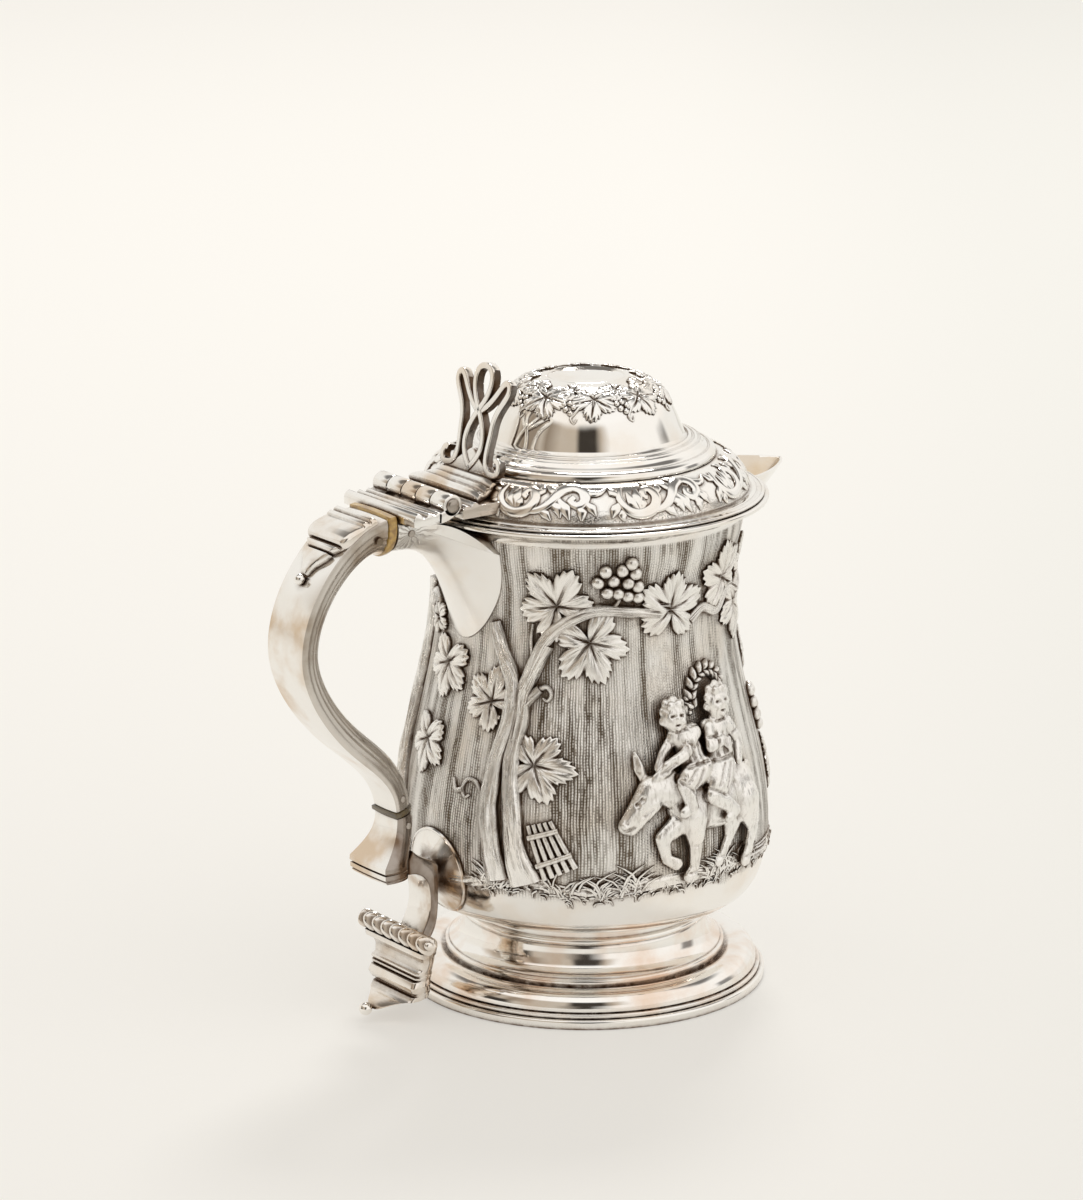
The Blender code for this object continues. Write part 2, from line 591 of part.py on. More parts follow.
def make_pad(carrier, offset):
    """The hollowed pad that sweeps up from the lid's hinge leaf to carry the thumbpiece."""
    front = curve((PAD_FOOT_X, PAD_FOOT_Z), (PAD_FOOT_X + 0.5 * PAD_REACH, PAD_FOOT_Z + 0.1 * PAD_RISE),
                  (PAD_TOP_X - 0.25 * PAD_REACH, PAD_TOP_Z - 0.65 * PAD_RISE), (PAD_TOP_X, PAD_TOP_Z), 5)
    behind = offset_line(front, -PAD_THICKNESS)
    foot_half = HINGE_LENGTH / 2 - 0.8
    sections = []
    for index, ((x, z), (back_x, back_z)) in enumerate(zip(front, behind)):
        wide = blend(foot_half, THUMB_HALF_WIDTH, math.sin(math.pi / 2 * index / 5))
        sections.append([(x, -wide, z), (x, wide, z), (back_x, wide * 0.94, back_z),
                         (back_x, -wide * 0.94, back_z)])
    pad = piece("thumbpiece_pad", lofted(sections), carrier, offset=offset)
    combine(pad, lid_envelope(carrier, "pad_lid_seat", offset), "DIFFERENCE")
    reach = HINGE_X + LID_LEAF_LENGTH + KNUCKLE_RADIUS + 6.0
    low = LEAF_BOTTOM - 6.0
    under = slab([(HINGE_X, low), (reach, low), (reach, PAD_SEAT), (HINGE_X, PAD_SEAT)], -HINGE_LENGTH,
                 HINGE_LENGTH)
    combine(pad, tool(under, carrier, "pad_leaf_seat", offset), "DIFFERENCE")


def strap(line, carrier, name, offset, depth, as_tool):
    """A flat strap of even width along a line drawn in the thumbpiece's own plane."""
    half = THUMB_STRAP / 2
    deep = depth / 2
    sections = []
    for (left_w, left_h), (right_w, right_h) in zip(offset_line(line, half), offset_line(line, -half)):
        sections.append([(-deep, left_w, left_h), (deep, left_w, left_h), (deep, right_w, right_h),
                         (-deep, right_w, right_h)])
    shape = lofted(sections)
    stand = Matrix.Translation((PAD_TOP_X + PAD_THICKNESS * 0.35, 0.0, PAD_TOP_Z + GAP))
    upright = stand @ Matrix.Rotation(math.radians(THUMB_LEAN), 4, "Y")
    bmesh.ops.transform(shape, matrix=upright, verts=shape.verts)
    if as_tool:
        return tool(shape, carrier, name, offset)
    return piece(name, shape, carrier, offset=offset)


def make_thumbpiece(carrier, offset):
    """Pierced scrollwork: two looped straps that cross, between two outer scrolls."""
    wide = THUMB_HALF_WIDTH
    tall = THUMB_HEIGHT
    base = THUMB_STRAP / 2
    inner = (curve((-0.6, 1.02 * tall), (0.32 * wide, 1.06 * tall), (0.42 * wide, 0.84 * tall),
                   (0.06 * wide, 0.64 * tall), 7)
             + curve((0.06 * wide, 0.64 * tall), (-0.25 * wide, 0.46 * tall), (-0.6 * wide, 0.26 * tall),
                     (0.04 * wide, base), 7)[1:])
    scroll = curve((0.86 * wide, 0.17 * tall), (1.06 * wide, 0.22 * tall), (1.14 * wide, base),
                   (0.86 * wide, base), 5)
    side = (scroll
            + curve((0.86 * wide, base), (0.36 * wide, base + 0.3), (0.56 * wide, 0.3 * tall),
                    (0.56 * wide, 0.45 * tall), 6)[1:]
            + curve((0.56 * wide, 0.45 * tall), (0.56 * wide, 0.68 * tall), (1.06 * wide, 0.78 * tall),
                    (0.93 * wide, 0.9 * tall), 6)[1:]
            + curve((0.93 * wide, 0.9 * tall), (0.72 * wide, 1.0 * tall), (0.6 * wide, 0.72 * tall),
                    (0.06 * wide, 0.6 * tall), 6)[1:])
    mirrored_inner = [(-w, h) for w, h in inner]
    mirrored_side = [(-w, h) for w, h in side]
    whole = strap(inner, carrier, "thumbpiece", offset, THUMB_DEPTH, False)
    for index, line in enumerate((mirrored_inner, side, mirrored_side)):
        depth = THUMB_DEPTH - 0.25 * (index + 1)
        combine(whole, strap(line, carrier, f"thumb_strap_{index}", offset, depth, True), "UNION", True)


# The handle follows one line along the middle of its outer face, from the upper collar
# round to the lower one. Each station has a place, a direction and a way in to the hand

GRIP_TOP = (COLLAR_X - COLLAR_THICKNESS, HINGE_Z - 0.75 * LEAF_DROP)
GRIP_OUT = (-HANDLE_REACH, blend(RIM_HEIGHT, LEDGE_HEIGHT, 0.325))
GRIP_END = (-LEDGE_REACH + 0.58 * LOWER_SOCKET_DEPTH, LEDGE_HEIGHT + LOWER_SOCKET_HEIGHT)
GRIP_LOW = (blend(GRIP_OUT[0], GRIP_END[0], 0.57), blend(GRIP_OUT[1], GRIP_END[1], 0.635))


def between(start, end, across, along):
    return blend(start[0], end[0], across), blend(start[1], end[1], along)


def grip_line():
    upper = curve(GRIP_TOP, between(GRIP_TOP, GRIP_OUT, 0.44, 0.03),
                  between(GRIP_OUT, GRIP_TOP, 0.0, 0.47), GRIP_OUT, 8)
    lower = curve(GRIP_OUT, between(GRIP_OUT, GRIP_LOW, 0.0, 0.36),
                  between(GRIP_LOW, GRIP_OUT, 0.51, 0.26), GRIP_LOW, 6)
    tail = curve(GRIP_LOW, between(GRIP_LOW, GRIP_END, 0.47, 0.31),
                 between(GRIP_END, GRIP_LOW, 0.06, 0.43), GRIP_END, 6)
    return upper + lower[1:] + tail[1:]


def d_section(half_width, depth, fullness=2.0):
    """A flat-backed section: a slightly crowned outer face and a rounded inner side."""
    face = [(-half_width, 0.0), (-half_width / 2, -FACE_CROWN * 0.75), (0.0, -FACE_CROWN),
            (half_width / 2, -FACE_CROWN * 0.75), (half_width, 0.0)]
    hollow = []
    for index in range(1, 10):
        turn = math.pi * index / 10
        across = math.copysign(abs(math.cos(turn)) ** (2.0 / fullness), math.cos(turn))
        hollow.append((half_width * across, depth * math.sin(turn) ** (2.0 / fullness)))
    return face + hollow


def at_station(place, along, section):
    """Set a flat section of (across, inward) points on the handle's line."""
    inward = Vector((-along[1], along[0]))
    return [(place[0] + inward.x * w, y, place[1] + inward.y * w) for y, w in section]


def directions(line):
    ways = []
    for index in range(len(line)):
        before = Vector(line[max(index - 1, 0)])
        after = Vector(line[min(index + 1, len(line) - 1)])
        ways.append((after - before).normalized())
    return ways


def grip_size(share):
    """Half width and depth of the handle at a share of its length."""
    if share < 0.45:
        part = share / 0.45
        return (blend(HANDLE_WIDTH_TOP, HANDLE_WIDTH_MIDDLE, part) / 2,
                blend(HANDLE_DEPTH_TOP, HANDLE_DEPTH_MIDDLE, part ** 0.5))
    part = (share - 0.45) / 0.55
    return (blend(HANDLE_WIDTH_MIDDLE, HANDLE_WIDTH_BOTTOM, part ** 1.4) / 2,
            blend(HANDLE_DEPTH_MIDDLE, HANDLE_DEPTH_BOTTOM, part))


def cross_pin(place, half_length, radius):
    return rod_along_y(radius, -half_length, half_length, place[0], place[1], 12)


def make_handle(carrier):
    """The scroll handle between its two collars, flat outside and rounded in the hand."""
    line = grip_line()
    ways = directions(line)
    last = len(line) - 1
    sections = []
    for index, (place, along) in enumerate(zip(line, ways)):
        sections.append(at_station(place, along, d_section(*grip_size(index / last))))
    handle = piece("handle", lofted(sections), carrier)

    pins = []
    first_way = ways[0]
    inward = Vector((-first_way.y, first_way.x))
    upper = Vector(line[0]) + first_way * 4.2 + inward * HANDLE_DEPTH_TOP * 0.42
    pins.append(("handle_upper_pin", upper, HANDLE_WIDTH_TOP / 2 * 0.97, handle))
    end_way = ways[-1]
    inward = Vector((-end_way.y, end_way.x))
    lower = Vector(line[-1]) - end_way * 3.2 + inward * HANDLE_DEPTH_BOTTOM * 0.45
    pins.append(("handle_lower_pin", lower, HANDLE_WIDTH_BOTTOM / 2 * 0.97, handle))
    return pins


def make_collars(carrier):
    """The two insulating collars that keep the heat of the cup from the handle."""
    line = grip_line()
    ways = directions(line)
    for name, place, along, half, depth in (
            ("upper_insulator", Vector(line[0]) - ways[0] * (COLLAR_THICKNESS + GAP), ways[0],
             HANDLE_WIDTH_TOP / 2, HANDLE_DEPTH_TOP),
            ("lower_insulator", Vector(line[-1]) + ways[-1] * GAP, ways[-1],
             HANDLE_WIDTH_BOTTOM / 2, HANDLE_DEPTH_BOTTOM)):
        long = COLLAR_THICKNESS if name == "upper_insulator" else COLLAR_THICKNESS * 0.6
        inward = Vector((-along.y, along.x))
        outline = d_section(half + COLLAR_PROUD, depth + 2 * COLLAR_PROUD)
        start = place - inward * COLLAR_PROUD
        sections = [at_station(start, along, outline), at_station(start + along * long, along, outline)]
        piece(name, lofted(sections), carrier, AMBER, 0.45, 0.0)


def make_upper_socket(carrier):
    """The handle's upper socket, which spreads into a shield that hugs the neck."""
    line = grip_line()
    along = directions(line)[0]
    inward = Vector((-along.y, along.x))
    start = Vector(line[0]) - along * (COLLAR_THICKNESS + 2 * GAP)
    top_drop = start.y - (LEAF_BOTTOM - GAP) + FACE_CROWN
    start = start + inward * max(top_drop, 0.0)
    first = at_station(start, along, d_section(HANDLE_WIDTH_TOP / 2, HANDLE_DEPTH_TOP - max(top_drop, 0.0)))
    half = SOCKET_FOOTPRINT_HALF_WIDTH
    top = SOCKET_FOOTPRINT_TOP
    shoulder = top - 6.0
    foot = [(-half, shoulder), (-0.78 * half, top - 0.4), (0.0, top), (0.78 * half, top - 0.4),
            (half, shoulder)]
    for index in range(1, 10):
        turn = math.pi * index / 10
        foot.append((half * math.cos(turn),
                     shoulder - (shoulder - SOCKET_FOOTPRINT_TIP) * math.sin(turn) ** 1.3))
    sections = []
    for share in (0.0, 0.25, 0.45, 0.6, 0.72, 0.82, 0.91, 1.0):
        section = []
        for index, (begin, (y, z)) in enumerate(zip(first, foot)):
            flare = share ** (1.2 if index < 5 else 3.4)
            spread = share ** 3.4
            target = on_cup(y, z, GAP + 0.1)
            section.append((blend(begin[0], target[0], share), blend(begin[1], y, spread),
                            blend(begin[2], z, flare)))
        sections.append(section)
    socket = piece("upper_socket", lofted(sections), carrier)
    combine(socket, cup_envelope(carrier, "socket_seat"), "DIFFERENCE")
    pin_place = start - along * 4.0 + inward * HANDLE_DEPTH_TOP * 0.36
    return [("upper_socket_pin", pin_place, HANDLE_WIDTH_TOP / 2 * 0.98, socket)]


def make_lower_socket(carrier):
    """The lower socket: a hollow neck that runs out to a double-moulded ledge."""
    line = grip_line()
    along = directions(line)[-1]
    top = Vector(line[-1]) + along * (COLLAR_THICKNESS * 0.6 + 2 * GAP)
    ledge = -LEDGE_REACH
    inner = ledge + LOWER_SOCKET_DEPTH
    narrow = HANDLE_WIDTH_BOTTOM / 2
    wide = LEDGE_HALF_WIDTH
    height = top.y - LEDGE_HEIGHT
    sections = [at_station(top, along, d_section(narrow, HANDLE_DEPTH_BOTTOM, 2.4))]
    for share, drop in ((0.3, 0.04), (0.58, 0.2), (0.8, 0.5), (0.94, 0.85), (1.0, 1.0)):
        z = top.y - height * share
        x = blend(top.x, ledge, drop)
        depth = blend(HANDLE_DEPTH_BOTTOM, LOWER_SOCKET_DEPTH, drop)
        sections.append(at_station((x, z), Vector((0.0, -1.0)),
                                   d_section(blend(narrow, wide, drop), depth, 3.0)))
    for share, cut in ((0.31, 0.0), (0.35, 1.0), (0.46, 1.0), (0.5, 0.33), (0.87, 1.0), (1.0, 2.7)):
        step = cut * LEDGE_GROOVE
        sections.append(at_station((ledge + step, LEDGE_HEIGHT - share * LEDGE_THICKNESS),
                                   Vector((0.0, -1.0)),
                                   d_section(wide - step * 0.5, inner - ledge - step, 3.0)))
    socket = piece("lower_socket", lofted(sections), carrier)
    pin_place = top + along * 3.0 + Vector((HANDLE_DEPTH_BOTTOM * 0.45, 0.0))
    return [("lower_socket_pin", pin_place, narrow * 0.98, socket)]


def make_cross_pins(carrier, pins):
    """Plain pins that hold the handle and its sockets to the collars' tongues."""
    for name, place, half_length, drilled in pins:
        hole = cross_pin(place, half_length + 20.0, CROSS_PIN_RADIUS + GAP)
        combine(drilled, tool(hole, carrier, name + "_hole"), "DIFFERENCE")
        piece(name, cross_pin(place, half_length + 0.3, CROSS_PIN_RADIUS), carrier, WORN_SILVER, 0.3)


def make_cap(carrier):
    """The applied cap below the hinge: two reeds, a plate with a raised lip, a drop and a bead."""
    line = [Vector(point) for point in grip_line()]
    ways = [Vector(way) for way in directions(grip_line())]
    run = [0.0]
    for start, end in zip(line, line[1:]):
        run.append(run[-1] + (end - start).length)

    def station(distance):
        index = next(k for k, length in enumerate(run) if length >= distance and k)
        share = (distance - run[index - 1]) / (run[index] - run[index - 1])
        place = line[index - 1].lerp(line[index], share)
        return place, ways[index - 1].lerp(ways[index], share).normalized()

    def outside(distance, half, height, lift):
        place, along = station(distance)
        base = -(GAP + FACE_CROWN + lift)
        return at_station(place, along, [(-half, base), (half, base), (half, base - height * 0.6),
                                         (half * 0.86, base - height), (-half * 0.86, base - height),
                                         (-half, base - height * 0.6)])

    start = 3.6
    half = HANDLE_WIDTH_TOP / 2
    plan = ((0.0, 0.35, 1.0), (0.05, 0.65, 1.0), (0.11, 0.65, 1.0), (0.15, 0.4, 1.0), (0.2, 0.65, 1.0),
            (0.27, 0.65, 1.0), (0.31, 0.45, 1.0), (0.55, 0.62, 0.98), (0.74, 0.85, 0.92), (0.78, 0.55, 0.9),
            (0.83, 0.55, 0.88), (0.87, 1.0, 0.84), (0.95, 1.0, 0.7), (1.0, 0.7, 0.55))
    cap = [outside(start + CAP_LENGTH * share, half * width, CAP_HEIGHT * height, 0.0)
           for share, height, width in plan]
    piece("handle_cap", lofted(cap), carrier)
    first = start + CAP_LENGTH + 0.5
    drop = [outside(first + DROP_LENGTH * share, half * width, CAP_HEIGHT * height, 0.0)
            for share, height, width in ((0.0, 0.7, 0.42), (0.35, 0.75, 0.4), (0.7, 0.55, 0.24),
                                         (1.0, 0.4, 0.1))]
    piece("handle_drop", lofted(drop), carrier)
    place, along = station(first + DROP_LENGTH + BEAD_RADIUS + 0.7)
    inward = Vector((-along.y, along.x))
    centre = place - inward * (BEAD_RADIUS + GAP + FACE_CROWN)
    piece("handle_bead", ball(BEAD_RADIUS, (centre.x, 0.0, centre.y)), carrier)


def make_boss(carrier):
    """The trumpet-shaped boss that ties the lower bracket to the belly."""
    def ring(radius, standoff):
        points = []
        for index in range(20):
            turn = math.tau * index / 20
            points.append(on_cup(radius * math.sin(turn), BOSS_HEIGHT + radius * math.cos(turn), standoff))
        return points

    stem = BOSS_STEM_RADIUS
    rings = [ring(BOSS_RADIUS, -BOSS_STANDOFF)]
    rings += [ring(blend(stem, BOSS_RADIUS, out), GAP + BOSS_STANDOFF * up)
              for out, up in ((1.0, 0.3), (0.6, 0.43), (0.25, 0.67))]
    face = -(cup_radius(BOSS_HEIGHT) + GAP + BOSS_STANDOFF)
    rings.append([(face, y, z) for x, y, z in ring(stem, 0.0)])
    boss = piece("cup_boss", lofted(rings), carrier)
    combine(boss, cup_envelope(carrier, "boss_seat"), "DIFFERENCE")


def make_bracket(carrier):
    """The C-scroll that runs from the ledge past the boss down to the terminal."""
    right = -(cup_radius(BOSS_HEIGHT) + BOSS_STANDOFF + 2 * GAP)
    left = -LEDGE_REACH + LOWER_SOCKET_DEPTH + GAP + 0.1
    low = TERMINAL_TOP + GAP
    under = LEDGE_HEIGHT - 0.93 * LEDGE_THICKNESS
    inside = right - BRACKET_THICKNESS
    foot_left = right - 2.5 * BRACKET_THICKNESS
    outline = curve((left, under), (blend(left, inside, 0.75), under), (inside, blend(under, low, 0.17)),
                    (inside, blend(under, low, 0.46)), 6)
    outline += curve(outline[-1], (inside, blend(under, low, 0.7)),
                     (blend(foot_left, inside, 0.3), blend(low, under, 0.2)),
                     (foot_left, low), 5)[1:]
    outline += curve((foot_left + 1.2 * BRACKET_THICKNESS, low),
                     (blend(right, foot_left, 0.15), blend(low, under, 0.13)),
                     (right, blend(low, under, 0.25)), (right, BOSS_HEIGHT - 1.3 * BOSS_STEM_RADIUS), 4)
    arm = BOSS_HEIGHT + 0.87 * BOSS_STEM_RADIUS
    rise = LEDGE_HEIGHT + 0.16 * LOWER_SOCKET_HEIGHT
    outline += curve((right, arm), (blend(right, left, 0.14), blend(arm, rise, 0.43)),
                     (blend(right, left, 0.55), blend(arm, rise, 0.4)),
                     (left + 0.14 * LOWER_SOCKET_DEPTH, rise), 4)
    outline += [(left, LEDGE_HEIGHT)]
    half = BRACKET_WIDTH / 2
    piece("scroll_bracket", slab(outline, -half, half), carrier)


def make_terminal(carrier):
    """The stepped terminal below its roped top, drawn out at the foot to a bead."""
    front = -TERMINAL_FRONT
    back = front + TERMINAL_DEPTH
    plan = ((0.0, 0.0, 1.0), (0.086, 0.0, 0.97), (0.105, 1.4, 0.88), (0.2, 2.0, 0.84), (0.315, 1.6, 0.8),
            (0.38, 0.3, 0.79),
            (0.424, 0.3, 0.79), (0.443, 1.0, 0.76), (0.49, 1.0, 0.76), (0.52, -0.6, 0.78),
            (0.62, -1.2, 0.765),
            (0.715, -0.6, 0.74), (0.743, 0.6, 0.7), (0.772, 0.6, 0.7), (0.79, -0.8, 0.72), (0.83, -1.6, 0.69))
    sections = []

    def level(share, face, tail, wide):
        z = TERMINAL_TOP - share * TERMINAL_HEIGHT
        side = front + 0.4 * (tail - front)
        edge = 0.6 * TERMINAL_STEP
        sections.append([(face, -wide + edge, z), (face, wide - edge, z), (face + edge, wide, z),
                         (side, wide, z),
                         (tail, wide * 0.55, z), (tail, -wide * 0.55, z), (side, -wide, z),
                         (face + edge, -wide, z)])

    for share, step, width in plan:
        level(share, front + step * TERMINAL_STEP, back, TERMINAL_HALF_WIDTH * width)
    for share, lead, tail, width in ((0.886, 0.48, 0.64, 0.5), (0.952, 0.81, 0.21, 0.3),
                                     (1.0, 1.0, -0.28, 0.15)):
        level(share, front - lead * TERMINAL_TIP_REACH, front + tail * TERMINAL_DEPTH,
              TERMINAL_HALF_WIDTH * width)
    piece("handle_terminal", lofted(sections), carrier)
    bead_x = front - TERMINAL_TIP_REACH - TERMINAL_BEAD_RADIUS - GAP
    bead_z = TERMINAL_TOP - 0.98 * TERMINAL_HEIGHT
    piece("terminal_bead", ball(TERMINAL_BEAD_RADIUS, (bead_x, 0.0, bead_z)), carrier)


def make_gadroon(carrier):
    """The roped moulding on top of the terminal, a bar swelling into slanting lobes."""
    centre_x = -TERMINAL_FRONT + 0.6 * GADROON_RADIUS
    centre_z = TERMINAL_TOP + GAP + GADROON_RADIUS
    per_lobe = 4
    total = GADROON_LOBES * per_lobe
    sides = 10
    sections = []
    for index in range(total + 1):
        y = -GADROON_HALF_LENGTH + 2 * GADROON_HALF_LENGTH * index / total
        swell = 0.78 + 0.22 * abs(math.sin(math.pi * index / per_lobe))
        if index in (0, total):
            swell = 0.5
        ring = []
        for side in range(sides):
            turn = math.tau * side / sides
            x = centre_x + GADROON_RADIUS * swell * math.cos(turn)
            lift = GADROON_RADIUS * swell * math.sin(turn)
            ring.append((x, y + 0.25 * lift, centre_z + max(lift, -GADROON_RADIUS * 0.9)))
        sections.append(ring)
    piece("terminal_gadroon", lofted(sections), carrier)


def build():
    clear_scene()
    cup_axis = empty("cup_axis", (AXIS_X, 0.0, 0.0))
    hinge_place = (HINGE_X, 0.0, HINGE_Z)
    lid_axis = empty("lid_axis", hinge_place, cup_axis)
    from_hinge = (-HINGE_X, 0.0, -HINGE_Z)
    make_foot_wire(cup_axis)
    make_foot(cup_axis)
    make_cup(cup_axis)
    make_rim(cup_axis)
    make_spout(cup_axis)
    make_lid(lid_axis, from_hinge)
    make_lid_leaf(lid_axis, from_hinge)
    make_pad(lid_axis, from_hinge)
    make_thumbpiece(lid_axis, from_hinge)
    make_handle_leaf(cup_axis)
    make_hinge_pin(cup_axis)
    pins = make_upper_socket(cup_axis)
    make_collars(cup_axis)
    pins += make_handle(cup_axis)
    pins += make_lower_socket(cup_axis)
    make_cross_pins(cup_axis, pins)
    make_cap(cup_axis)
    make_boss(cup_axis)
    make_bracket(cup_axis)
    make_terminal(cup_axis)
    make_gadroon(cup_axis)


build()
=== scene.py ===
import bisect
import math
import random

import bmesh
import bpy
from mathutils import Matrix, Vector, noise
from mathutils.geometry import interpolate_bezier


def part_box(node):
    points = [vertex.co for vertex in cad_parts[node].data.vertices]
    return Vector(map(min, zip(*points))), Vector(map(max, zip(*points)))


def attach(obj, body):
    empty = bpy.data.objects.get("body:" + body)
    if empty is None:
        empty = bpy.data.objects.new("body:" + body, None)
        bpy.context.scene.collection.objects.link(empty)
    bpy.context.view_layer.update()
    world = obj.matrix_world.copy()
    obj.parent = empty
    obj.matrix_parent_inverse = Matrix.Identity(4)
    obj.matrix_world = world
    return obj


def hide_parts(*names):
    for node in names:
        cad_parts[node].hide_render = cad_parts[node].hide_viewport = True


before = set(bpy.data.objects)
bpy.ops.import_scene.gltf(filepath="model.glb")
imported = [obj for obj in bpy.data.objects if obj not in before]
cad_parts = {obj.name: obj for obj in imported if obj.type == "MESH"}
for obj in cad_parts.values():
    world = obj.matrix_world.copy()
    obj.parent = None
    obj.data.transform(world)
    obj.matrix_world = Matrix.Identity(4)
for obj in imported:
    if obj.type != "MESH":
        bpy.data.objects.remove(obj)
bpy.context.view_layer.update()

# The studio: one pale sheet that runs under the tankard and far behind it, white walls with a few dark
# gaps for the silver to mirror, and a long lens that looks down past the handle. It isn't the object.
PHOTO_WIDTH = 1083.0
LENS_PIXELS = 5000.0
SENSOR_WIDTH = 36.0
CAMERA_TURN = math.radians(36.1)
CAMERA_PITCH = math.radians(15.3)
CAMERA_DISTANCE = 1.638
AIM_ACROSS = -0.01434
AIM_HEIGHT = 0.12782
FLOOR_HALF_WIDTH = 6.0
SHEET_LEFT = (1.0, 0.975, 0.93, 1.0)
SHEET_RIGHT = (0.86, 0.86, 0.82, 1.0)
SHEET_FRONT = (0.56, 0.53, 0.48, 1.0)
SHEET_PAPER = (0.86, 0.84, 0.79, 1.0)
SHEET_GLOW = 0.42
SOFTBOX_PLACE = Vector((0.2, 1.7, 2.2))
SOFTBOX_SIZE = 0.8
SOFTBOX_WATTS = 24.0
WHITE_WALL = (0.92, 0.9, 0.86)
WARM_WALL = (0.86, 0.82, 0.75)
BRIGHT_WALL = (1.02, 0.99, 0.95)
BEIGE_SCREEN = (0.56, 0.49, 0.41)
DARK_GAP = (0.05, 0.042, 0.035)
GREY_EDGE = (0.28, 0.27, 0.26)
BROWN_SCREEN = (0.3, 0.24, 0.18)
CEILING = (1.05, 1.03, 1.0, 1.0)
DARK_CEILING = (0.2, 0.19, 0.18, 1.0)

wire_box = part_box("foot_wire")
AXIS_X = (wire_box[0].x + wire_box[1].x) / 2
image_right = Vector((math.cos(CAMERA_TURN), -math.sin(CAMERA_TURN), 0.0))
level_look = Vector((math.sin(CAMERA_TURN), math.cos(CAMERA_TURN), 0.0))
look = level_look * math.cos(CAMERA_PITCH) - Vector((0.0, 0.0, math.sin(CAMERA_PITCH)))
aim = image_right * AIM_ACROSS + Vector((AXIS_X, 0.0, AIM_HEIGHT))


def placed(name, data):
    """A new object in the scene."""
    item = bpy.data.objects.new(name, data)
    bpy.context.scene.collection.objects.link(item)
    return item


camera = placed("camera", bpy.data.cameras.new("camera"))
camera.data.sensor_fit = "HORIZONTAL"
camera.data.sensor_width = SENSOR_WIDTH
camera.data.lens = LENS_PIXELS / PHOTO_WIDTH * SENSOR_WIDTH
camera.data.clip_end = 50.0
camera.rotation_mode = "QUATERNION"
camera.rotation_quaternion = look.to_track_quat("-Z", "Y")
camera.location = aim - look * CAMERA_DISTANCE
bpy.context.scene.camera = camera
bpy.context.scene.view_settings.view_transform = "Standard"


def feed(socket, value):
    """Link another node's output to a socket, or set the socket's own value."""
    if isinstance(value, bpy.types.NodeSocket):
        socket.id_data.links.new(value, socket)
    else:
        socket.default_value = value


def added(tree, kind, feeds, **settings):
    """A new node with its settings, and with values fed to its inputs by number or name."""
    node = tree.nodes.new("ShaderNode" + kind)
    for name, value in settings.items():
        setattr(node, name, value)
    for key, value in feeds.items():
        feed(node.inputs[key], value)
    return node


def calc(operation, first, second=0.0):
    """One step of arithmetic between sockets and numbers."""
    tree = (first if isinstance(first, bpy.types.NodeSocket) else second).id_data
    return added(tree, "Math", {0: first, 1: second}, operation=operation).outputs[0]


def times(first, second):
    """A product of a socket and another or a number."""
    return calc("MULTIPLY", first, second)


def plus(first, second):
    """A sum of a socket and another or a number."""
    return calc("ADD", first, second)


def remapped(value, low, high, new_low=0.0, new_high=1.0):
    """A value eased from one range into another."""
    feeds = dict(enumerate((value, low, high, new_low, new_high)))
    return added(value.id_data, "MapRange", feeds, interpolation_type="SMOOTHSTEP").outputs[0]


def mixed(share, low, high):
    """Two colours mixed by a share."""
    return added(share.id_data, "Mix", {0: share, 6: low, 7: high}, data_type="RGBA").outputs[2]


def parted(vector):
    """The three parts of a vector."""
    return added(vector.id_data, "SeparateXYZ", {0: vector}).outputs


def object_place(tree):
    """Where a point of the surface lies in the object's own frame."""
    return tree.nodes.new("ShaderNodeTexCoord").outputs["Object"]


def reach_along(place, way):
    """How far a place lies in a direction."""
    return added(place.id_data, "VectorMath", {0: place, 1: way}, operation="DOT_PRODUCT").outputs["Value"]


def backdrop_paper():
    """Matt paper that darkens to the right and towards the front with painted shade, and shows white to the
    lens and to the silver.
    """
    paper = bpy.data.materials.new("backdrop_paper")
    paper.use_nodes = True
    tree = paper.node_tree
    tree.nodes.clear()
    place = object_place(tree)
    # Painted shade: the paper's colour darkens to the right and towards the front, where less light falls.
    side = remapped(reach_along(place, image_right), 0.05, 0.3)
    near = remapped(reach_along(place, -level_look), 0.15, 0.9)
    colour = mixed(near, mixed(side, SHEET_LEFT, SHEET_RIGHT), SHEET_FRONT)
    matt = added(tree, "BsdfDiffuse", {"Color": SHEET_PAPER})
    glow = added(tree, "Emission", {"Color": colour})
    rays = tree.nodes.new("ShaderNodeLightPath").outputs
    seen = calc("MAXIMUM", rays["Is Camera Ray"], rays["Is Glossy Ray"])
    seen = calc("MAXIMUM", seen, rays["Is Transmission Ray"])
    lit = added(tree, "MixShader", {0: times(seen, SHEET_GLOW), 1: matt.outputs[0], 2: glow.outputs[0]})
    added(tree, "OutputMaterial", {"Surface": lit.outputs[0]})
    return paper


sheet_shape = bmesh.new()
bmesh.ops.create_grid(sheet_shape, x_segments=8, y_segments=8, size=FLOOR_HALF_WIDTH)
sheet_mesh = bpy.data.meshes.new("floor_sheet")
sheet_shape.to_mesh(sheet_mesh)
sheet_shape.free()
sheet_mesh.materials.append(backdrop_paper())
floor_sheet = placed("floor_sheet", sheet_mesh)
softbox = placed("softbox", bpy.data.lights.new("softbox", "AREA"))
softbox.data.shape = "DISK"
softbox.data.size = SOFTBOX_SIZE
softbox.data.energy = SOFTBOX_WATTS
softbox.location = image_right * SOFTBOX_PLACE.x + level_look * SOFTBOX_PLACE.y
softbox.location.z = SOFTBOX_PLACE.z
softbox.rotation_mode = "QUATERNION"
softbox.rotation_quaternion = (-softbox.location).to_track_quat("-Z", "Y")


def compass_ring(compass, walls):
    """One ring of the room: wall colours by their angle to the right of the lens."""
    ramp = added(compass.id_data, "ValToRGB", {0: compass})
    stops = ramp.color_ramp.elements
    while len(stops) < len(walls):
        stops.new(0.5)
    for stop, (degrees, colour) in zip(stops, walls):
        stop.position = degrees / 360.0 + 0.5
        stop.color = (*colour, 1.0)
    return ramp.outputs[0]


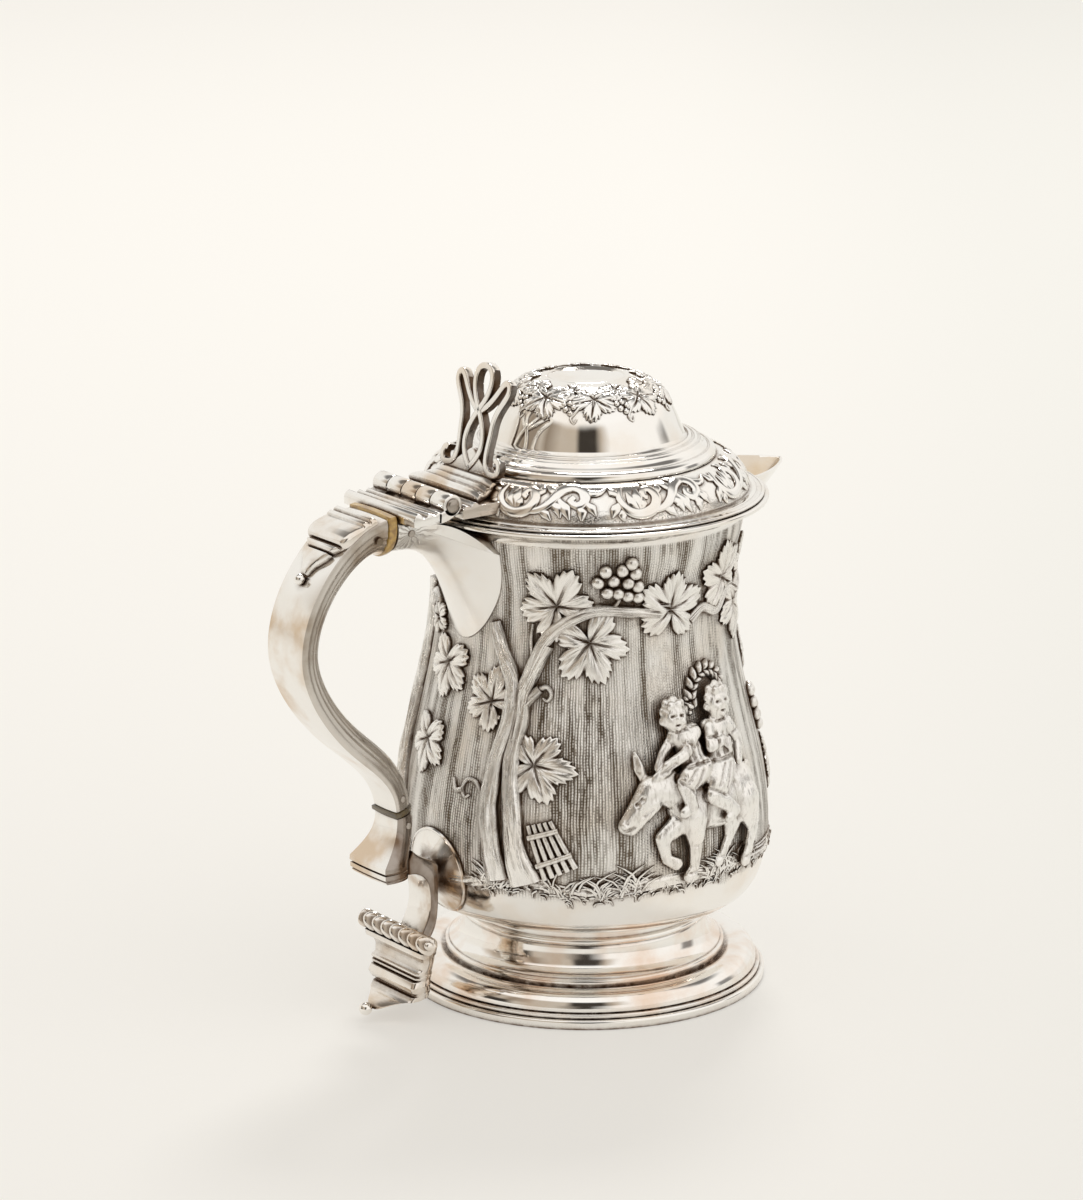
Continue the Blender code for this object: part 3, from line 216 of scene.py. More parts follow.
def studio_walls():
    """The room: a low ring of walls, a darker high ring, a white ceiling in front and a dark one behind."""
    low_ring = ((-180, WHITE_WALL), (-86, WARM_WALL), (-81, DARK_GAP), (-54, DARK_GAP), (-47, BEIGE_SCREEN),
                (-20, BEIGE_SCREEN), (-2, DARK_GAP), (3, DARK_GAP), (20, BRIGHT_WALL), (96, BRIGHT_WALL),
                (101, GREY_EDGE), (112, GREY_EDGE), (117, WHITE_WALL), (180, WHITE_WALL))
    high_ring = ((-180, WHITE_WALL), (-112, WHITE_WALL), (-98, BEIGE_SCREEN), (-84, BROWN_SCREEN),
                 (-66, BROWN_SCREEN), (-60, BEIGE_SCREEN), (-52, BROWN_SCREEN), (-34, BEIGE_SCREEN),
                 (-14, BEIGE_SCREEN), (-8, DARK_GAP), (12, DARK_GAP), (20, BEIGE_SCREEN), (32, BRIGHT_WALL),
                 (130, BRIGHT_WALL), (180, WHITE_WALL))
    world = bpy.data.worlds.new("studio")
    bpy.context.scene.world = world
    world.use_nodes = True
    tree = world.node_tree
    direction = tree.nodes.new("ShaderNodeTexCoord").outputs["Generated"]
    feeds = {"Vector": direction, "Angle": math.pi / 2 + CAMERA_TURN}
    turned = added(tree, "VectorRotate", feeds, rotation_type="Z_AXIS").outputs[0]
    ahead, right, height = parted(turned)
    compass = plus(calc("DIVIDE", calc("ARCTAN2", right, ahead), math.tau), 0.5)
    rings = [compass_ring(compass, walls) for walls in (low_ring, high_ring)]
    walls = mixed(remapped(height, 0.2, 0.34), *rings)
    ceiling = mixed(remapped(ahead, -0.3, 0.0), DARK_CEILING, CEILING)
    background = tree.nodes["Background"]
    feed(background.inputs["Color"], mixed(remapped(height, 0.6, 0.72), walls, ceiling))
    background.inputs["Strength"].default_value = 1.0


studio_walls()


# The stout wire the tankard stands on: drawn silver, rounded on both edges, bent to a ring
# and soldered under the foot. Polish has rounded it, and dirt stays in the groove above it.
MM = 0.001
SILVER = (0.93, 0.91, 0.875, 1.0)
TAN_TARNISH = (0.80, 0.66, 0.50, 1.0)
BROWN_TARNISH = (0.13, 0.075, 0.04, 1.0)
RING_STEPS = 144
WIRE_WIDTH = 4.2
WIRE_ROUND = 1.0


def span(node):
    """A CAD node's corners in millimetres, measured from the cup's axis."""
    return tuple((corner - Vector((AXIS_X, 0.0, 0.0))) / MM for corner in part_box(node))


def noise_at(place, scale, detail=3.0):
    """Cloudy noise over a surface."""
    feeds = {"Vector": place, "Scale": scale, "Detail": detail}
    return added(place.id_data, "TexNoise", feeds).outputs["Fac"]


def bumped(shader, height, depth, strength=1.0, under=None):
    """A bump of a depth in millimetres, over another one if given."""
    node = added(height.id_data, "Bump", {"Strength": strength, "Distance": depth * MM, "Height": height})
    if under is not None:
        feed(node.inputs["Normal"], under)
    feed(shader.inputs["Normal"], node.outputs["Normal"])


def silver_finish(name, roughness=0.09, tarnish=0.35, crevice=2.5, grime=0.9, open_at=0.88, tint=TAN_TARNISH,
                  even_stain_and_shade=0.0):
    """Hand-polished silver: faint hammer waves, cloudy warm tarnish, brown where cloth can't reach."""
    surface = bpy.data.materials.new(name)
    surface.use_nodes = True
    tree = surface.node_tree
    shader = tree.nodes["Principled BSDF"]
    shader.inputs["Metallic"].default_value = 1.0
    place = object_place(tree)
    hollow = added(tree, "AmbientOcclusion", {"Distance": crevice * MM}, samples=6)
    cloud = remapped(noise_at(place, 55.0, 5.0), 0.42, 0.72)
    crumbs = remapped(noise_at(place, 420.0, 3.0), 0.3, 0.7, 0.7, 1.25)
    unreached = times(remapped(hollow.outputs["AO"], 0.4, open_at, 1.0, 0.0), crumbs)
    dirt = calc("MINIMUM", times(unreached, grime), 1.0)
    # The tint, in a cloudy share and an even share, is real tarnish and stain on most finishes; on the
    # side-face finishes it is painted shade.
    warm = mixed(plus(times(cloud, tarnish), even_stain_and_shade), SILVER, tint)
    feed(shader.inputs["Base Color"], mixed(dirt, warm, BROWN_TARNISH))
    wiped = remapped(noise_at(place, 190.0, 4.0), 0.3, 0.7, roughness - 0.02, roughness + 0.03)
    feed(shader.inputs["Roughness"], plus(wiped, times(dirt, 0.3)))
    bumped(shader, noise_at(place, 95.0, 2.0), 0.18, 0.35)
    return surface


def bezier(start, lead_out, lead_in, end, steps=12):
    """Flat points along a Bezier curve, both ends included."""
    knots = [Vector((point[0], point[1], 0.0)) for point in (start, lead_out, lead_in, end)]
    return [(point.x, point.y) for point in interpolate_bezier(*knots, steps + 1)]


def softened(points, radius, steps=3):
    """Round the inner corners of an open line of flat points."""
    line = [Vector(point) for point in points]
    soft = [tuple(line[0])]
    for before, corner, after in zip(line, line[1:], line[2:]):
        enter = corner + (before - corner).normalized() * min(radius, (before - corner).length * 0.48)
        leave = corner + (after - corner).normalized() * min(radius, (after - corner).length * 0.48)
        for step in range(steps + 1):
            share = step / steps
            soft.append(tuple(enter.lerp(corner, share).lerp(corner.lerp(leave, share), share)))
    return soft + [tuple(line[-1])]


def spun(profile, closed=True, steps=RING_STEPS):
    """Spin a line of (radius, height) points round the cup's axis."""
    shape = bmesh.new()
    points = [shape.verts.new((radius, 0.0, height)) for radius, height in profile]
    edges = [shape.edges.new(pair) for pair in zip(points, points[1:])]
    if closed:
        edges.append(shape.edges.new((points[-1], points[0])))
    bmesh.ops.spin(shape, geom=edges, cent=(0, 0, 0), axis=(0, 0, 1), angle=math.tau, steps=steps,
                   use_merge=True)
    return shape


def finished(name, shape, surface, body, *nodes, slot="silver", sharp=38.0):
    """Close a piece drawn in millimetres from the axis, set it in the frame and give it its finish."""
    bmesh.ops.remove_doubles(shape, verts=shape.verts, dist=0.002)
    bmesh.ops.recalc_face_normals(shape, faces=shape.faces)
    bmesh.ops.scale(shape, vec=(MM, MM, MM), verts=shape.verts)
    bmesh.ops.translate(shape, vec=(AXIS_X, 0.0, 0.0), verts=shape.verts)
    mesh = bpy.data.meshes.new(name)
    shape.to_mesh(mesh)
    shape.free()
    mesh.shade_smooth()
    mesh.set_sharp_from_angle(angle=math.radians(sharp))
    mesh.materials.append(surface)
    item = placed(name, mesh)
    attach(item, body)
    if nodes:
        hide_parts(*nodes)
    return item


bright_silver = silver_finish("bright_silver")
FOOT_RADIUS = span("foot_wire")[1].x
WIRE_HEIGHT = span("foot_wire")[1].z
wire_inside = FOOT_RADIUS - WIRE_WIDTH
wire_line = softened([(wire_inside, WIRE_HEIGHT / 2), (wire_inside, 0.0), (FOOT_RADIUS, 0.0),
                      (FOOT_RADIUS, WIRE_HEIGHT), (wire_inside, WIRE_HEIGHT), (wire_inside, WIRE_HEIGHT / 2)],
                     WIRE_ROUND, 5)
finished("standing_wire", spun(wire_line[:-1]), bright_silver, "tankard", "foot_wire")


# The foot: cast and turned silver, a collar with two beads, a hollow neck, a step and a domed edge.
# It is soldered to the wire below and the cup above; brown tarnish sits in every turned groove.
FOOT_NECK = 40.5
FOOT_STEP = 46.4
FOOT_STEP_HEIGHT = 10.4
FOOT_EDGE_INSET = 2.8
FOOT_BEAD = 0.9
FOOT_WALL = 1.4
ROSY_TARNISH = (0.82, 0.66, 0.54, 1.0)
foot_top = span("foot")[1].z
foot_seat = span("foot")[0].z - 0.2
foot_edge = FOOT_RADIUS - FOOT_EDGE_INSET


def foot_bead(top, height):
    """A small half-round bead on the foot's neck, with a groove on each side."""
    line = [(FOOT_NECK - 0.25, top + 0.2)]
    for turn in (math.pi * step / 6 for step in range(7)):
        line.append((FOOT_NECK + FOOT_BEAD * math.sin(turn), top - height / 2 + height / 2 * math.cos(turn)))
    return line + [(FOOT_NECK - 0.25, top - height - 0.2)]


foot_line = [(FOOT_NECK - 1.0, foot_top + 0.3)] + foot_bead(foot_top - 0.4, 1.7)
foot_line += [(FOOT_NECK, foot_top - 2.9), (FOOT_NECK - 0.1, foot_top - 4.6)] + foot_bead(foot_top - 5.2, 2.2)
foot_line += bezier((FOOT_NECK, foot_top - 8.0), (FOOT_NECK + 0.2, foot_top - 13.0),
                    (FOOT_STEP - 4.0, FOOT_STEP_HEIGHT + 3.8), (FOOT_STEP - 1.3, FOOT_STEP_HEIGHT + 2.7), 14)
foot_line += softened([(FOOT_STEP - 1.2, FOOT_STEP_HEIGHT + 2.1), (FOOT_STEP, FOOT_STEP_HEIGHT + 2.2),
                       (FOOT_STEP, FOOT_STEP_HEIGHT + 0.2), (FOOT_STEP - 0.3, FOOT_STEP_HEIGHT - 0.5)], 0.6)
foot_line += bezier((FOOT_STEP + 0.5, FOOT_STEP_HEIGHT - 0.6), (FOOT_STEP + 4.0, FOOT_STEP_HEIGHT + 1.4),
                    (foot_edge - 0.2, FOOT_STEP_HEIGHT + 1.2), (foot_edge, foot_seat + 1.9), 16)
foot_line += softened([(foot_edge - 0.4, foot_seat + 1.4), (foot_edge + 1.2, foot_seat + 1.4),
                       (foot_edge + 1.2, foot_seat), (foot_edge - FOOT_WALL, foot_seat)], 0.4)
foot_line += [(foot_edge - 3.0, FOOT_STEP_HEIGHT - 1.6), (FOOT_STEP - FOOT_WALL, FOOT_STEP_HEIGHT - 2.2),
              (FOOT_STEP - 1.0 - FOOT_WALL, FOOT_STEP_HEIGHT + 1.0), (FOOT_NECK - FOOT_WALL, foot_top - 8.0),
              (FOOT_NECK - FOOT_WALL, foot_top)]
foot_silver = silver_finish("foot_silver", 0.08, 1.0, 2.4, 0.8, tint=ROSY_TARNISH)
finished("turned_foot", spun(foot_line), foot_silver, "tankard", "foot")


# The cup: raised from one sheet of silver and chased from outside with upright strokes that make the
# ground of the picture. A plain polished band is left below the picture and under the rim.
BELLY_HEIGHT = 54.5
WAIST_RADIUS = 48.0
WAIST_HEIGHT = 138.0
NECK_RADIUS = 51.6
NECK_HEIGHT = 158.5
LIP_RADIUS = 56.1
FLARE_TOP = 163.1
CUP_WALL = 1.2
GROUND_LOW = 44.5
GROUND_HIGH = 159.0
STROKE_COLUMNS = 360.0
STROKE_TAP = 0.95
STROKE_DRIFT = 1.6
STROKE_BROWN = (0.15, 0.12, 0.09, 1.0)
LIP_GAP_HALF = 14.0
LIP_GAP_SIDES = 3.0
LIP_GAP_DEPTH = 19.0
belly_radius = span("cup")[1].y
cup_base = span("cup")[0].z
rim_height = span("cup")[1].z
base_radius = belly_radius - 10.3


def chained(start, *runs):
    """A line of Bezier runs, each given by its two leads, its end and its steps."""
    line = bezier(start, *runs[0])
    for run in runs[1:]:
        line += bezier(line[-1], *run)[1:]
    return line


def shifted(line, distance):
    """A flat line moved sideways, to the left of its direction."""
    moved = []
    for index, point in enumerate(line):
        along = Vector(line[min(index + 1, len(line) - 1)]) - Vector(line[max(index - 1, 0)])
        along.normalize()
        moved.append((point[0] - along.y * distance, point[1] + along.x * distance))
    return moved


def tooled(surface, share, colour, height, depth, strength=0.8):
    """Lay the brown and the bump of tool marks over a finish."""
    shader = surface.node_tree.nodes["Principled BSDF"]
    polished, waves = (shader.inputs[name].links[0].from_socket for name in ("Base Color", "Normal"))
    feed(shader.inputs["Base Color"], mixed(share, polished, colour))
    bumped(shader, height, depth, strength, waves)
    return surface


def ripple(angle):
    """A sine wave between nought and one."""
    return plus(times(calc("SINE", angle), 0.5), 0.5)


def chased_ground():
    """Silver matted by rows of upright chasing strokes, dark between them, bright on their backs."""
    surface = silver_finish("chased_ground", 0.12, 0.3, 4.2, 1.5, 0.97)
    tree = surface.node_tree
    place = object_place(tree)
    x, y, height = parted(place)
    outward = added(tree, "CombineXYZ", {0: calc("SUBTRACT", x, AXIS_X), 1: y}).outputs[0]
    compass = parted(added(tree, "VectorMath", {0: outward}, operation="NORMALIZE").outputs[0])

    def strokes(width, length, detail):
        """Noise drawn out along the upright: strokes of a width and length in millimetres."""
        feeds = {axis: times(compass[axis], belly_radius / width) for axis in (0, 1)}
        feeds[2] = times(height, 1.0 / (length * MM))
        return noise_at(added(tree, "CombineXYZ", feeds).outputs[0], 1.0, detail)

    low_edge = plus(height, times(noise_at(place, 130.0, 3.0), 0.006))
    above = remapped(low_edge, (GROUND_LOW + 2.0) * MM, (GROUND_LOW + 5.0) * MM)
    below = remapped(height, (GROUND_HIGH - 1.0) * MM, GROUND_HIGH * MM, 1.0, 0.0)
    worked = times(above, below)
    round_turn = calc("DIVIDE", calc("ARCTAN2", compass[1], compass[0]), math.tau)
    column = plus(times(round_turn, STROKE_COLUMNS), times(noise_at(place, 70.0, 2.0), STROKE_DRIFT))
    feeds = {"W": calc("FLOOR", plus(column, 0.25))}
    own_start = added(tree, "TexWhiteNoise", feeds, noise_dimensions="1D").outputs["Value"]
    tapped = ripple(plus(times(height, math.tau / (STROKE_TAP * MM)), times(own_start, 40.0)))
    fine = strokes(1.3, 3.6, 4.0)
    broad = strokes(4.2, 46.0, 3.0)
    ridge = times(ripple(times(column, math.tau)), plus(times(tapped, 0.6), 0.4))
    ridge = times(ridge, remapped(fine, 0.32, 0.68, 0.35, 1.5))
    dark = plus(times(remapped(ridge, 0.1, 0.55, 1.0, 0.0), 0.72), remapped(broad, 0.32, 0.68, 0.42, -0.62))
    dark = times(calc("MAXIMUM", calc("MINIMUM", dark, 1.0), 0.0), worked)
    roughness = tree.nodes["Principled BSDF"].inputs["Roughness"]
    feed(roughness, plus(roughness.links[0].from_socket, times(worked, 0.2)))
    return tooled(surface, dark, STROKE_BROWN, times(plus(ridge, times(fine, 0.8)), worked), 0.28)


def slab(outline, low, high):
    """Extrude an (x, z) outline along Y from low to high."""
    shape = bmesh.new()
    face = shape.faces.new([shape.verts.new((x, low, z)) for x, z in outline])
    raised = bmesh.ops.extrude_face_region(shape, geom=[face])["geom"]
    moved = [item for item in raised if isinstance(item, bmesh.types.BMVert)]
    bmesh.ops.translate(shape, verts=moved, vec=(0.0, high - low, 0.0))
    bmesh.ops.recalc_face_normals(shape, faces=shape.faces)
    return shape


def as_object(shape):
    """A scratch object that holds a shape, for modifiers to work on."""
    mesh = bpy.data.meshes.new("scratch")
    shape.to_mesh(mesh)
    shape.free()
    return placed("scratch", mesh)


def as_shape(item):
    """What a scratch object's modifiers have made of it."""
    shape = bmesh.new()
    graph = bpy.context.evaluated_depsgraph_get()
    shape.from_mesh(bpy.data.meshes.new_from_object(item.evaluated_get(graph)))
    return shape


def sawn(shape, tool):
    """A shape with another one sawn out of it."""
    for part in (shape, tool):
        bmesh.ops.recalc_face_normals(part, faces=part.faces)
    items = [as_object(shape), as_object(tool)]
    cut = items[0].modifiers.new("saw", "BOOLEAN")
    cut.object = items[1]
    cut.solver = "EXACT"
    whole = as_shape(items[0])
    for item in items:
        bpy.data.objects.remove(item)
    return whole


def lip_opening():
    """The wedge sawn out of the cup and rim behind the pouring lip."""
    outline = [(-LIP_GAP_HALF, rim_height + 5.0), (LIP_GAP_HALF, rim_height + 5.0),
               (LIP_GAP_HALF, rim_height - LIP_GAP_SIDES), (0.0, rim_height - LIP_GAP_DEPTH),
               (-LIP_GAP_HALF, rim_height - LIP_GAP_SIDES)]
    shape = slab(outline, WAIST_RADIUS - 10.0, LIP_RADIUS + 8.0)
    bmesh.ops.rotate(shape, cent=(0, 0, 0), matrix=Matrix.Rotation(-math.pi / 2, 3, "Z"), verts=shape.verts)
    return shape


belly = (belly_radius, BELLY_HEIGHT)
waist = (WAIST_RADIUS, WAIST_HEIGHT)
neck = (NECK_RADIUS, NECK_HEIGHT)
outer_line = chained(
    (base_radius, cup_base),
    ((base_radius + 7.0, cup_base + 1.5), (belly_radius, BELLY_HEIGHT - 12.4), belly, 14),
    ((belly_radius, BELLY_HEIGHT + 27.6), (WAIST_RADIUS, WAIST_HEIGHT - 34.2), waist, 30),
    ((WAIST_RADIUS, WAIST_HEIGHT + 8.0), (NECK_RADIUS - 0.3, NECK_HEIGHT - 6.6), neck, 10),
    ((NECK_RADIUS + 0.3, NECK_HEIGHT + 2.4), (LIP_RADIUS - 1.6, FLARE_TOP - 0.9), (LIP_RADIUS, FLARE_TOP), 8))
inner_line = shifted(outer_line, CUP_WALL)


def refinished(piece, surface, chosen):
    """Give a second finish to the faces of a piece that a test picks out."""
    piece.data.materials.append(surface)
    for face in piece.data.polygons:
        face.material_index = int(chosen(face))


def inside_the_cup(face):
    """Whether a face of the cup looks inwards, above its floor."""
    outward = (face.center - Vector((AXIS_X, 0.0, face.center.z))).dot(face.normal)
    return outward < 0.0 and face.center.z > (cup_base + CUP_WALL / 2) * MM


cup_profile = [(0.0, cup_base)] + outer_line + [(LIP_RADIUS, rim_height), (LIP_RADIUS - CUP_WALL, rim_height)]
cup_profile += list(reversed(inner_line[1:]))
cup_profile += [(base_radius, cup_base + CUP_WALL), (0.0, cup_base + CUP_WALL)]
cup = finished("chased_cup", sawn(spun(cup_profile, False), lip_opening()), chased_ground(), "tankard", "cup")
refinished(cup, silver_finish("cup_inside", 0.2, 0.5, 2.5, 0.9), inside_the_cup)


# The vine: trunks, branches and tendrils raised from inside the cup and sharpened from outside with
# bark lines. They stand up to four millimetres proud of the ground, dark where they meet it.
TRUNK_BOLD = 1.25
BARK_DEPTH = 0.75
SUNK = 0.5
TRACER_BROWN = (0.2, 0.16, 0.12, 1.0)


def blend(low, high, share):
    """A value part of the way from one to another."""
    return low + (high - low) * share


def read_off(table, spot):
    """A value from a table of (spot, value) pairs in rising order."""
    for (low, first), (high, second) in zip(table, table[1:]):
        if spot <= high:
            return blend(first, second, (spot - low) / (high - low))
    return table[-1][1]


def graded(values, share):
    """A value part of the way along a short list of values."""
    spot = min(max(share, 0.0), 1.0) * (len(values) - 1)
    index = min(int(spot), len(values) - 2)
    return blend(values[index], values[index + 1], spot - index)


def directions(line):
    """The way a line runs at each of its points."""
    return [(line[min(index + 1, len(line) - 1)] - line[max(index - 1, 0)]).normalized()
            for index in range(len(line))]


def wall_of(line, marks):
    """A map from a compass angle, a mark along a turned line and a standoff to a point of the wall."""
    path = [Vector(point) for point in line]
    ways = directions(path)

    def place(angle, mark, out=0.0):
        """A point of the wall, or that far out from it."""
        index = min(max(bisect.bisect_left(marks, mark), 1), len(marks) - 1)
        share = (mark - marks[index - 1]) / (marks[index] - marks[index - 1])
        way = ways[index - 1].lerp(ways[index], share).normalized()
        spot = path[index - 1].lerp(path[index], share) + Vector((way.y, -way.x)) * out
        turn = math.radians(angle)
        return Vector((spot.x * math.cos(turn), spot.x * math.sin(turn), spot.y))
    return place


def skinned(rings, closed_ends=True):
    """Extrude one loop of points from ring to ring; every ring has the same number of points."""
    shape = bmesh.new()
    slot = shape.verts.layers.int.new("slot")
    level = shape.verts.layers.float.new("level")
    loop = bmesh.ops.create_circle(shape, segments=len(rings[0]), radius=1.0, cap_ends=closed_ends)["verts"]
    for index, point in enumerate(loop):
        point[slot] = index
        point.co = rings[0][index]
    edges = list(shape.edges)
    for count, ring in enumerate(rings[1:], 1):
        made = bmesh.ops.extrude_edge_only(shape, edges=edges)["geom"]
        points = {item for item in made if isinstance(item, bmesh.types.BMVert)}
        made_edges = [item for item in made if isinstance(item, bmesh.types.BMEdge)]
        edges = [edge for edge in made_edges if points.issuperset(edge.verts)]
        for point in points:
            point.co = ring[point[slot]]
            point[level] = count
    if closed_ends:
        bmesh.ops.edgeloop_fill(shape, edges=edges)
    return shape


def gathered(shapes):
    """Several shapes as one piece."""
    whole = bmesh.new()
    for shape in shapes:
        scratch = bpy.data.meshes.new("scratch")
        shape.to_mesh(scratch)
        shape.free()
        whole.from_mesh(scratch)
        bpy.data.meshes.remove(scratch)
    return whole


def degree_width(place, angle, mark):
    """How many millimetres one degree is on the wall there."""
    spot = place(angle, mark)
    return math.radians(1.0) * math.hypot(spot.x, spot.y)


def flowing(place, points, pitch):
    """A smooth line of (angle, mark) points through a few given ones."""
    ends = [Vector(points[0]) * 2 - Vector(points[1])] + [Vector(point) for point in points]
    ends.append(ends[-1] * 2 - ends[-2])
    line = []
    for before, start, end, after in zip(ends, ends[1:], ends[2:], ends[3:]):
        width = degree_width(place, start.x, start.y)
        count = max(2, round(math.hypot((end.x - start.x) * width, end.y - start.y) / pitch))
        for step in range(count):
            share = step / count
            line.append(0.5 * (2 * start + (end - before) * share
                               + (2 * before - 5 * start + 4 * end - after) * share ** 2
                               + (3 * start - before - 3 * end + after) * share ** 3))
    return line + [Vector(points[-1])]


def stem(place, points, widths, rises, bark=0.0, sides=8, pitch=1.3, seed=0.0, crown=0.75):
    """A half-round stem laid on a wall, its foot sunk in the ground, with bark lines if asked for."""
    path = flowing(place, points, pitch)
    run = 0.0
    rings = []
    for index, spot in enumerate(path):
        share = index / (len(path) - 1)
        width = degree_width(place, spot.x, spot.y)
        step = path[min(index + 1, len(path) - 1)] - path[max(index - 1, 0)]
        way = Vector((step.x * width, step.y))
        run += way.length / 2
        way.normalize()
        half = graded(widths, share) / 2
        rise = graded(rises, share)
        ring = []
        for side in range(sides + 3):
            turn = math.pi * min(side, sides) / sides
            across = half * math.cos(turn)
            out = rise * math.sin(turn) ** crown
            if bark:
                across *= 1.0 + 0.16 * noise.noise(Vector((run * 0.16, seed, math.copysign(2.0, across))))
                lines = noise.noise(Vector((run * 0.07, math.cos(turn) * 3.6 + seed * 9.0, seed)))
                out += bark * lines * math.sin(turn) ** 0.5
            if side > sides:
                across = half * (-0.85 if side == sides + 1 else 0.85)
                out = -SUNK
            ring.append(place(spot.x - way.y * across / width, spot.y + way.x * across, out))
        rings.append(ring)
    return skinned(rings)


on_cup = wall_of(outer_line, [height for radius, height in outer_line])


def tracer_cut(surface, marks, low, high, depth, dark):
    """Brown tracer cuts in a finish, where its marks are low."""
    return tooled(surface, times(remapped(marks, low, high, 1.0, 0.0), dark), TRACER_BROWN, marks, depth)


def traced_silver(name, along_scale, round_scale, depth, dark):
    """Relief silver with tracer lines that run along each stem or out along each leaf."""
    surface = silver_finish(name, 0.26, 0.15, 3.0, 1.35)
    tree = surface.node_tree
    feeds = {2: times(noise_at(object_place(tree), 40.0, 1.0), 3.0)}
    for axis, layer, scale in ((0, "slot", round_scale), (1, "level", along_scale)):
        feeds[axis] = times(added(tree, "Attribute", {}, attribute_name=layer).outputs["Fac"], scale)
    drawn = noise_at(added(tree, "CombineXYZ", feeds).outputs[0], 1.0, 3.0)
    return tracer_cut(surface, drawn, 0.32, 0.52, depth, dark)


def hatched(surface, scale, depth, dark):
    """Short tracer strokes all over a figure, leaning with its slope."""
    tree = surface.node_tree
    feeds = {"Vector": object_place(tree), "Rotation": (0.0, 0.5, 0.0), "Scale": (1.0, 1.0, 0.3)}
    hatch = noise_at(added(tree, "Mapping", feeds).outputs[0], scale, 3.0)
    return tracer_cut(surface, hatch, 0.3, 0.5, depth, dark)


bark_silver = traced_silver("bark_silver", 0.12, 0.75, 0.7, 0.36)
leaf_silver = traced_silver("leaf_silver", 0.22, 0.3, 0.25, 0.25)
relief_silver = hatched(silver_finish("relief_silver", 0.28, 0.15, 3.4, 1.5, 0.92), 900.0, 0.35, 0.3)
TRUNKS = (
    (((-162.6, 131.4), (-159.1, 122.5), (-153.6, 113.2), (-153.4, 101), (-156.6, 87.8), (-157.6, 74.9),
     (-156.2, 62.3), (-153.6, 50)), (4.2, 5, 5.6, 5.8, 6, 6.4, 6.8, 9), (1.7, 2.2, 2.4, 2.4, 2.6, 2.4)),
    (((-141, 126), (-148.3, 111.6), (-149.3, 101.2), (-151, 88.4), (-150.2, 75.9), (-148, 60.2),
     (-145, 49.6)), (4.6, 5.4, 5.4, 5.6, 6.2, 7.2, 11), (2, 2.3, 2.4, 2.7, 2.4)),
    (((-148.6, 111.5), (-141.9, 126.6), (-132.4, 134.4), (-121, 137.4), (-105.3, 136.1), (-97.6, 134.8)),
     (4.6, 4.8, 4.4, 4.2, 4, 3.4), (2.3, 2.2, 2, 1.9, 1.8)),
    (((-105, 136.4), (-98.5, 138), (-93, 137.6)), (2.4, 1.8), (1.4, 1.1)),
    (((-150.2, 104), (-146.2, 108.6), (-142.9, 111.6)), (3.6, 3.2, 3), (1.8, 1.9)),
    (((-84, 131), (-76.6, 134.2), (-68, 131.8), (-58, 138), (-44, 134), (-30, 137)), (3, 3.2, 3, 3.2, 2.8),
     (1.6, 1.7, 1.5)),
    (((144.5, 136), (142.3, 113.8), (146.1, 87.4), (153.2, 65.7), (156, 49)), (4.4, 5.4, 6, 6.6, 9),
     (2, 2.5, 2.6)), (((144.6, 128), (152, 133), (160, 131)), (3.2, 2.4), (1.6, 1.3)),
    (((75, 49), (78, 64), (72, 84), (76, 104), (70, 122), (62, 132), (48, 136.5), (32, 134)),
     (10, 6.6, 6, 5.6, 5.2, 4.4, 3.6), (2.6, 2.6, 2.4, 2, 1.6)),
    (((75.6, 103), (83, 116), (94, 126), (108, 131), (124, 134), (136, 132)), (5, 4.6, 4.2, 3.6, 3),
     (2.3, 2, 1.6)),
    (((-8, 49), (-5, 66), (-11, 84), (-6, 102), (-14, 116), (-26, 128), (-34, 135)),
     (9, 6.2, 5.6, 5.2, 4.6, 3.6), (2.6, 2.4, 2.2, 1.8)))
TENDRILS = (
    ((-158.4, 70), (-160.4, 75.5), (-163.4, 79.6), (-167, 80), (-168.8, 77), (-167.4, 74.2),
     (-165.6, 75.4)), ((-168.4, 76.6), (-171.4, 76), (-173.2, 79.4)),
    ((-142.9, 111.6), (-140.4, 112.4), (-138.8, 110.2), (-140, 108), (-141.8, 108.8)),
    ((-140.4, 128.6), (-138.4, 132.6), (-137.6, 137)), ((-146, 121), (-147.2, 127), (-146.6, 132.4)),
    ((-115.6, 138.4), (-114, 140.6), (-113, 143)), ((-131, 134), (-130.4, 130.6), (-128.6, 128.2)),
    ((-150.6, 84.4), (-148.4, 86.6), (-146, 86.8)), ((-157, 101), (-160, 101.6), (-162, 104.2)),
    ((-68, 132.6), (-65.6, 137), (-64, 141)), ((72, 90), (64, 96), (58, 92), (60, 88)),
    ((77, 70), (86, 76), (92, 72), (89, 68)), ((-6, 98), (4, 104), (9, 100)),
    ((100, 128.4), (102, 123), (99, 118)), ((48, 136.4), (46, 131), (40, 127)))
vine_stems = []
for seed, (path, widths, rises) in enumerate(TRUNKS):
    bold_rises = [rise * TRUNK_BOLD for rise in rises]
    vine_stems.append(stem(on_cup, path, widths, bold_rises, BARK_DEPTH, 16, 1.0, seed + 0.5))
for path in TENDRILS:
    vine_stems.append(stem(on_cup, path, (2.0, 1.5, 1.3, 0.9), (1.5, 1.3, 1.2, 0.8), 0.0, 8, 0.7))
finished("vine_trunks", gathered(vine_stems), bark_silver, "tankard")


